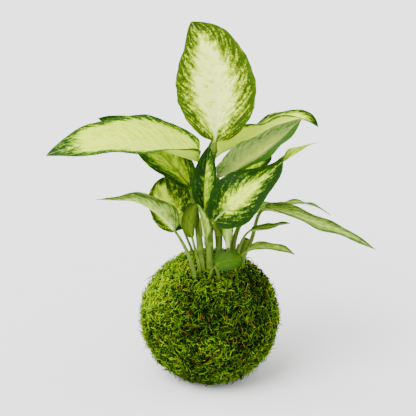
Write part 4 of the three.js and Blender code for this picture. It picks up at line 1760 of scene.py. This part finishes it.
LEAVES = (
    Leaf(
        name="leaf_top",
        slot="leaf_cream",
        stalk=((3.6, 0.2, 238.4),),
        radii=(2.9, 2.3),
        midrib=(
            (5, 2, 247), (7, 7, 268), (7, 12, 290), (3.5, 17, 314), (-4, 24, 341),
            (-18, 34, 361),
        ),
        width=79,
        widest=0.42,
        taper=(0.6, 0.83),
        facing=((0, -0.95, 0.3), (0.2, -0.9, 0.45)),
        fold=((30, 9), (30, 9)),
        curl=-6,
        waves=(2.5, 1.8, 0.1),
        markings=Markings(0.15, (18, 21), 0.86),
        sides=(Finish.IVORY, Finish.UNDER_PALE),
    ),
    Leaf(
        name="leaf_left_big",
        slot="leaf_cream",
        stalk=((-1, -2, 214), (-5, -3, 223)),
        radii=(2.2, 1.9),
        midrib=(
            (-10, -3, 229.5), (-31, -5, 238), (-53, -9, 247), (-83, -13, 254),
            (-114, -17, 253), (-138, -19, 249), (-159, -20, 242),
        ),
        width=70,
        widest=0.38,
        taper=(0.32, 0.85),
        facing=((0, -0.3, 0.95), (0, -0.25, 0.97)),
        fold=((75, 13), (38, 9)),
        curl=-4,
        waves=(2.5, 2.2, 0.35),
        markings=Markings(0.15, (8, 7), 0.74),
        sides=(Finish.SUNNY, Finish.UNDER_PALE),
    ),
    Leaf(
        name="leaf_left_back",
        slot="leaf_green",
        stalk=((-7.5, -18, 106), (-8, -22, 128), (-11, -11, 158)),
        radii=(3.1, 2.3),
        midrib=((-18, 5, 195), (-40, 16, 221), (-68, 26, 244), (-90, 33, 254), (-110, 36, 260)),
        width=46,
        widest=0.42,
        taper=(0.55, 0.9),
        facing=((0.2, -0.6, 0.75), (0.1, -0.4, 0.9)),
        fold=((35, 12), (35, 12)),
        curl=-5,
        waves=(3, 1.6, 0.2),
        markings=Markings(0.35, (10, 10), 0.7),
        sides=(Finish.LEAF, Finish.UNDER_GREY),
    ),
    Leaf(
        name="leaf_left_round",
        slot="leaf_cream",
        stalk=((-13, 2, 106), (-17, 7, 129), (-22, 9, 142)),
        radii=(1.3, 1.1),
        midrib=((-26, 10, 152), (-35, 16, 171), (-41, 21, 184), (-45, 28, 201)),
        width=48,
        widest=0.4,
        taper=(0.4, 0.6),
        facing=((0.1, -0.9, 0.4), (0.1, -0.9, 0.4)),
        fold=((25, 10), (25, 10)),
        curl=-8,
        waves=(2, 1.2, 0),
        markings=Markings(0.25, (6, 20), 0.85, 0.2, 0.3),
        sides=(Finish.LEMON, Finish.UNDER_PALE),
    ),
    Leaf(
        name="leaf_left_low",
        slot="leaf_grey",
        stalk=((-14, -29, 106), (-15, -32, 123), (-21, -27, 141)),
        radii=(1.9, 1.4),
        midrib=(
            (-34, -9, 158), (-51, -11, 178), (-73, -15, 192), (-90, -18, 194.5),
            (-111, -22, 197),
        ),
        width=34,
        widest=0.3,
        taper=(0.5, 1.3),
        facing=((0.3, 0.3, 0.9), (0, 0.2, 1)),
        fold=((80, 46), (40, 12)),
        curl=-6,
        waves=(2.5, 1.2, 0.4),
        markings=Markings(0.55, (10, 10), 0.85, solid=0.0),
        sides=(Finish.UNDER_SILVER, Finish.UNDER_SILVER),
    ),
    Leaf(
        name="leaf_olive",
        slot="leaf_green",
        stalk=((-11, -24, 106), (-10, -27, 126), (-14, -22, 143)),
        radii=(1.5, 1.2),
        midrib=((-17, -17, 154), (-20, -13, 164), (-18, -9, 176), (-13, -6, 187)),
        width=16,
        widest=0.45,
        taper=(0.55, 0.7),
        facing=((-0.3, -0.9, 0.3), (-0.4, -0.8, 0.4)),
        fold=((30, 20), (30, 20)),
        curl=0,
        waves=(1.5, 0.6, 0),
        markings=Markings(0.4, (3, 3), 0.9),
        sides=(Finish.OLIVE, Finish.OLIVE),
        fine=False,
    ),
    Leaf(
        name="leaf_centre",
        slot="leaf_green",
        stalk=((-2.5, -17, 154), (-7, -16, 162), (-7.5, -15, 172)),
        radii=(2, 1.9),
        midrib=(
            (-5.5, -15, 183), (-5.5, -16, 200), (-4.5, -17, 218), (-2.5, -16, 236),
            (-0.5, -14, 250),
        ),
        width=25,
        widest=0.4,
        taper=(0.55, 0.85),
        facing=((-0.1, -1, 0.2), (0, -1, 0.2)),
        fold=((40, 18), (40, 18)),
        curl=-10,
        waves=(2, 1.2, 0.3),
        markings=Markings(0.45, (16, 4), 0.7, solid=0.5),
        sides=(Finish.LEAF, Finish.UNDER_PALE),
    ),
    Leaf(
        name="leaf_centre_low",
        slot="leaf_green",
        stalk=((-1.5, -20.5, 147), (-3, -24, 151)),
        radii=(2, 1.9),
        midrib=((-3.5, -25, 157), (-6, -24.5, 170), (-9, -23, 182), (-12, -22, 192)),
        width=17,
        widest=0.4,
        taper=(0.5, 0.8),
        facing=((0.2, -0.94, 0.17), (0.2, -0.94, 0.17)),
        fold=((75, 80), (45, 40)),
        curl=0,
        waves=(1, 0.5, 0),
        markings=Markings(0.2, (2, 2), 0.95),
        sides=(Finish.UNDER_SILVER, Finish.UNDER_SILVER),
        fine=False,
    ),
    Leaf(
        name="leaf_sheath",
        slot="stalk",
        stalk=((17, -15, 106), (18, -15, 128)),
        radii=(1.7, 1.6),
        midrib=((18, -16, 143.5), (17.5, -18, 155), (17, -18, 165), (16, -17, 179)),
        width=14,
        widest=0.6,
        taper=(0.8, 0.8),
        facing=((0.1, 1, 0.1), (0.1, 1, 0.1)),
        fold=((35, 25), (35, 25)),
        curl=10,
        waves=(1, 0.4, 0),
        markings=Markings(0.3, (1.5, 1.5), 0.98),
        sides=(Finish.UNDER_SILVER, Finish.UNDER_SILVER),
        fine=False,
    ),
    Leaf(
        name="leaf_right_front",
        slot="leaf_cream",
        stalk=((7.6, -13, 156.5), (6.2, -21.5, 165)),
        radii=(2, 1.8),
        midrib=(
            (4, -27.5, 174.5), (22, -35.5, 196.5), (42, -39, 216.5), (58, -39, 231),
            (71, -36.5, 242), (88, -34, 252.5), (96, -33, 257.5), (104, -32, 260),
        ),
        width=53,
        widest=0.3,
        taper=(0.7, 2.8),
        facing=((-0.25, -0.75, 0.6), (-0.4, 0.6, 0.7)),
        fold=((70, -12), (20, 0)),
        curl=-8,
        waves=(2.5, 1.8, 0.15),
        markings=Markings(0.22, (13, 13), 0.7, 0.21, 0.7),
        sides=(Finish.LEMON, Finish.UNDER_PALE),
        tail=(6, 20, 55),
    ),
    Leaf(
        name="leaf_right_grey",
        slot="leaf_grey",
        stalk=((8.4, -8.5, 208.9),),
        radii=(2.6, 1.9),
        midrib=(
            (8, -9, 215.5), (22, -11, 222.6), (35, -12, 233), (60, -14, 253), (75, -14, 264.5),
            (89, -12, 277),
        ),
        width=52,
        widest=0.42,
        taper=(0.5, 0.75),
        facing=((-0.3, 0.75, 0.6), (-0.3, 0.7, 0.65)),
        fold=((25, 10), (25, 10)),
        curl=-6,
        waves=(2.5, 1.5, 0.25),
        # The right half stops at a greyish green, painted sheen where that half faces the light.
        markings=Markings(0.1, (12, 17), 0.97, solid=0.9, full=(1.0, 0.56)),
        sides=(Finish.LEAF, Finish.UNDER_FRESH),
    ),
    Leaf(
        name="leaf_right_back",
        slot="leaf_cream",
        stalk=((2, -1, 206), (3, 9, 214)),
        radii=(2, 1.8),
        midrib=(
            (2, 16, 223), (12, 21, 231), (31, 24, 237), (58, 27, 250), (81, 27, 261),
            (95, 25, 261.5), (107, 22, 256),
        ),
        width=48,
        widest=0.42,
        taper=(0.45, 0.75),
        facing=((-0.2, 0.55, 1), (0.1, 0, 1)),
        fold=((43, 37), (69, 26)),
        curl=-6,
        waves=(3, 2, 0.1),
        markings=Markings(0.1, (8, 6), 0.85, 0.1, 0.1),
        # Its underside is coloured brighter as painted light.
        sides=(Finish.LEMON, Finish.UNDER_LIT),
    ),
    Leaf(
        name="leaf_right_hidden",
        slot="leaf_green",
        stalk=((7.6, -7, 190), (12, -3, 199)),
        radii=(1.9, 1.6),
        midrib=((17, 6, 207), (30, 14, 217), (45, 18.5, 222.5), (61.5, 21, 225.5)),
        width=31,
        widest=0.45,
        taper=(0.5, 0.6),
        facing=((-0.2, -0.7, 0.65), (-0.2, -0.7, 0.65)),
        fold=((20, 8), (20, 8)),
        curl=-5,
        waves=(2, 1, 0.5),
        markings=Markings(0.45, (5, 5), 0.75),
        sides=(Finish.LEAF, Finish.UNDER_GREY),
    ),
    Leaf(
        name="leaf_right_long",
        slot="leaf_green",
        stalk=((31, -4, 106), (33, -8, 128), (41.5, -10, 150)),
        radii=(2.2, 1.7),
        midrib=(
            (52, -8, 180), (74, -12, 179), (107, -18, 169), (135, -24, 161), (163, -30, 147),
        ),
        width=28,
        widest=0.35,
        taper=(0.5, 0.9),
        facing=((-0.2, 0, 1), (0.2, -0.05, 1)),
        fold=((40, 5), (40, 5)),
        curl=-6,
        waves=(3, 1, 0.2),
        markings=Markings(0.68, (8, 5), 0.95, solid=0.1),
        sides=(Finish.UNDER_SILVER, Finish.UNDER_SILVER),
    ),
    Leaf(
        name="leaf_right_wavy",
        slot="leaf_green",
        stalk=((22, -6, 106), (22, -4, 128), (25, -4, 149)),
        radii=(3.2, 2.2),
        midrib=(
            (31, -1, 163), (47, 8, 173), (65, 12, 176), (89, 18, 177), (107, 22, 171),
            (121, 25, 161),
        ),
        width=24,
        widest=0.3,
        taper=(0.5, 0.9),
        facing=((-0.2, 0.3, 1), (0.2, 0.3, 1)),
        fold=((40, 10), (40, 10)),
        curl=-4,
        waves=(3, 1.8, 0),
        markings=Markings(0.7, (3, 3), 0.8),
        sides=(Finish.UNDER_SILVER, Finish.UNDER_SILVER),
    ),
    Leaf(
        name="leaf_right_small",
        slot="leaf_green",
        stalk=((27, -10, 106), (28, -12, 129), (31, -18, 150)),
        radii=(1.3, 1.1),
        midrib=((40, -22, 164), (49, -24, 166), (60, -26, 168), (70, -26, 172), (79, -25, 173)),
        width=17,
        widest=0.4,
        taper=(0.6, 0.8),
        facing=((-0.2, 0.1, 1), (0, 0.1, 1)),
        fold=((35, 15), (35, 15)),
        curl=0,
        waves=(2, 0.8, 0),
        markings=Markings(0.6, (4, 4), 0.8),
        sides=(Finish.UNDER_GREY, Finish.UNDER_GREY),
        fine=False,
    ),
    Leaf(
        name="leaf_right_low",
        slot="leaf_green",
        stalk=((25, -18, 106), (27, -20, 128)),
        radii=(1.4, 1.2),
        midrib=((35, -20, 140), (46, -21, 145), (58, -22, 146), (72, -24, 145), (84, -26, 140)),
        width=16,
        widest=0.4,
        taper=(0.6, 0.8),
        facing=((-0.2, -0.1, 1), (0.2, -0.1, 1)),
        fold=((35, 8), (35, 8)),
        curl=0,
        waves=(2, 0.8, 0.3),
        markings=Markings(0.6, (3, 3), 0.85, solid=0.0),
        sides=(Finish.UNDER_SILVER, Finish.UNDER_SILVER),
        fine=False,
    ),
    Leaf(
        name="leaf_front_small",
        slot="leaf_green",
        stalk=((9.5, -31, 106), (8.5, -36, 124)),
        radii=(1.6, 1.3),
        midrib=((6, -39, 134), (13, -41.5, 139), (23, -42, 141), (32.5, -39, 141.5)),
        width=20,
        widest=0.45,
        taper=(0.45, 0.5),
        facing=((-0.1, -0.8, 0.6), (0, -0.7, 0.7)),
        fold=((15, 8), (15, 8)),
        curl=-12,
        waves=(1, 0.5, 0),
        markings=Markings(0.5, (3, 3), 0.9),
        sides=(Finish.FRESH, Finish.FRESH),
        fine=False,
    ),
)

CANES = (
    Cane(
        name="cane_main",
        slot="stalk",
        path=(
            (0.5, -20, 104), (0.6, -23.5, 128), (-0.5, -19, 153), (-0.3, -13, 170),
            (-1, -5, 195), (1, -1, 215), (3.5, 0, 238),
        ),
        radii=(2.8, 3.8, 4.8, 4, 3.1),
        joints=6,
        skin=Finish.CANE,
        top=Finish.CANE,
    ),
    Cane(
        name="cane_side",
        slot="stalk",
        path=(
            (8.6, -19, 104), (9.4, -20.5, 128), (8.8, -12, 160), (6.5, -8.5, 190),
            (8.4, -8.5, 208.6),
        ),
        radii=(3.24, 3.72, 3.6, 3.36),
        joints=4,
        # Coloured darker as painted shade.
        skin=Finish.CANE_DARK,
        top=Finish.CANE_DARK,
    ),
    Cane(
        name="cane_cut",
        slot="scar",
        path=((29, 3, 108), (30, 2, 127), (37, 2, 145)),
        radii=(2.4, 2.8, 2.8, 3),
        joints=2,
        skin=Finish.CUT,
        top=Finish.SCAR,
    ),
    Cane(
        name="cane_cut_short",
        slot="scar",
        path=((25, 5, 108), (26, 5, 126), (29, 4, 138)),
        radii=(1.3, 1.5, 1.4, 1.5),
        joints=1,
        skin=Finish.CUT,
        top=Finish.SCAR,
    ),
    Cane(
        name="shoot_new",
        slot="stalk",
        path=((0, -29, 108), (0.8, -31.5, 120), (2.2, -33.5, 126), (4.5, -35.5, 130)),
        radii=(2, 2.2, 1.6, 0.5),
        joints=0,
        skin=Finish.CANE,
        top=Finish.CANE,
    ),
)


@dataclass
class Kokedama:
    """The whole plant.

    Attributes:
        leaves: Its leaves.
        canes: Its canes, cut stubs and new shoot.
        moss: The moss round its root ball.
    """

    leaves: tuple[Leaf, ...] = LEAVES
    canes: tuple[Cane, ...] = CANES
    moss: MossCoat = field(default_factory=MossCoat)

    STEM_REACH = 45.0
    STEM_POINTS = 46

    def stems(self) -> list[tuple[np.ndarray, float]]:
        """Lists every stem that comes out of the moss.

        Returns:
            Points along the lower end of each one in millimetres, with its radius.
        """
        paths = [(leaf.stalk + leaf.midrib, max(leaf.radii)) for leaf in self.leaves]
        paths += [(cane.path, max(cane.radii)) for cane in self.canes]
        found = []
        for line, radius in ((Line(path), wide) for path, wide in paths if path[0][2] < BALL_TOP):
            reach = min(line.length, self.STEM_REACH)
            points, _ = line.at(np.linspace(0, reach, self.STEM_POINTS))
            found.append((points, radius))
        return found

    def dress_root_ball(self) -> None:
        """Gives the root ball its finish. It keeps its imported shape, which the moss hides."""
        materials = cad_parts["root_ball"].data.materials
        materials.clear()
        materials.append(Finish.SOIL.material())

    def build(self) -> None:
        """Builds every piece."""
        for leaf in self.leaves:
            leaf.build()
        for cane in self.canes:
            cane.build()
        self.moss.build(self.stems())
        self.dress_root_ball()


def main() -> None:
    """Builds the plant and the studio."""
    Kokedama().build()
    Studio().build()


if __name__ == "__main__":
    main()
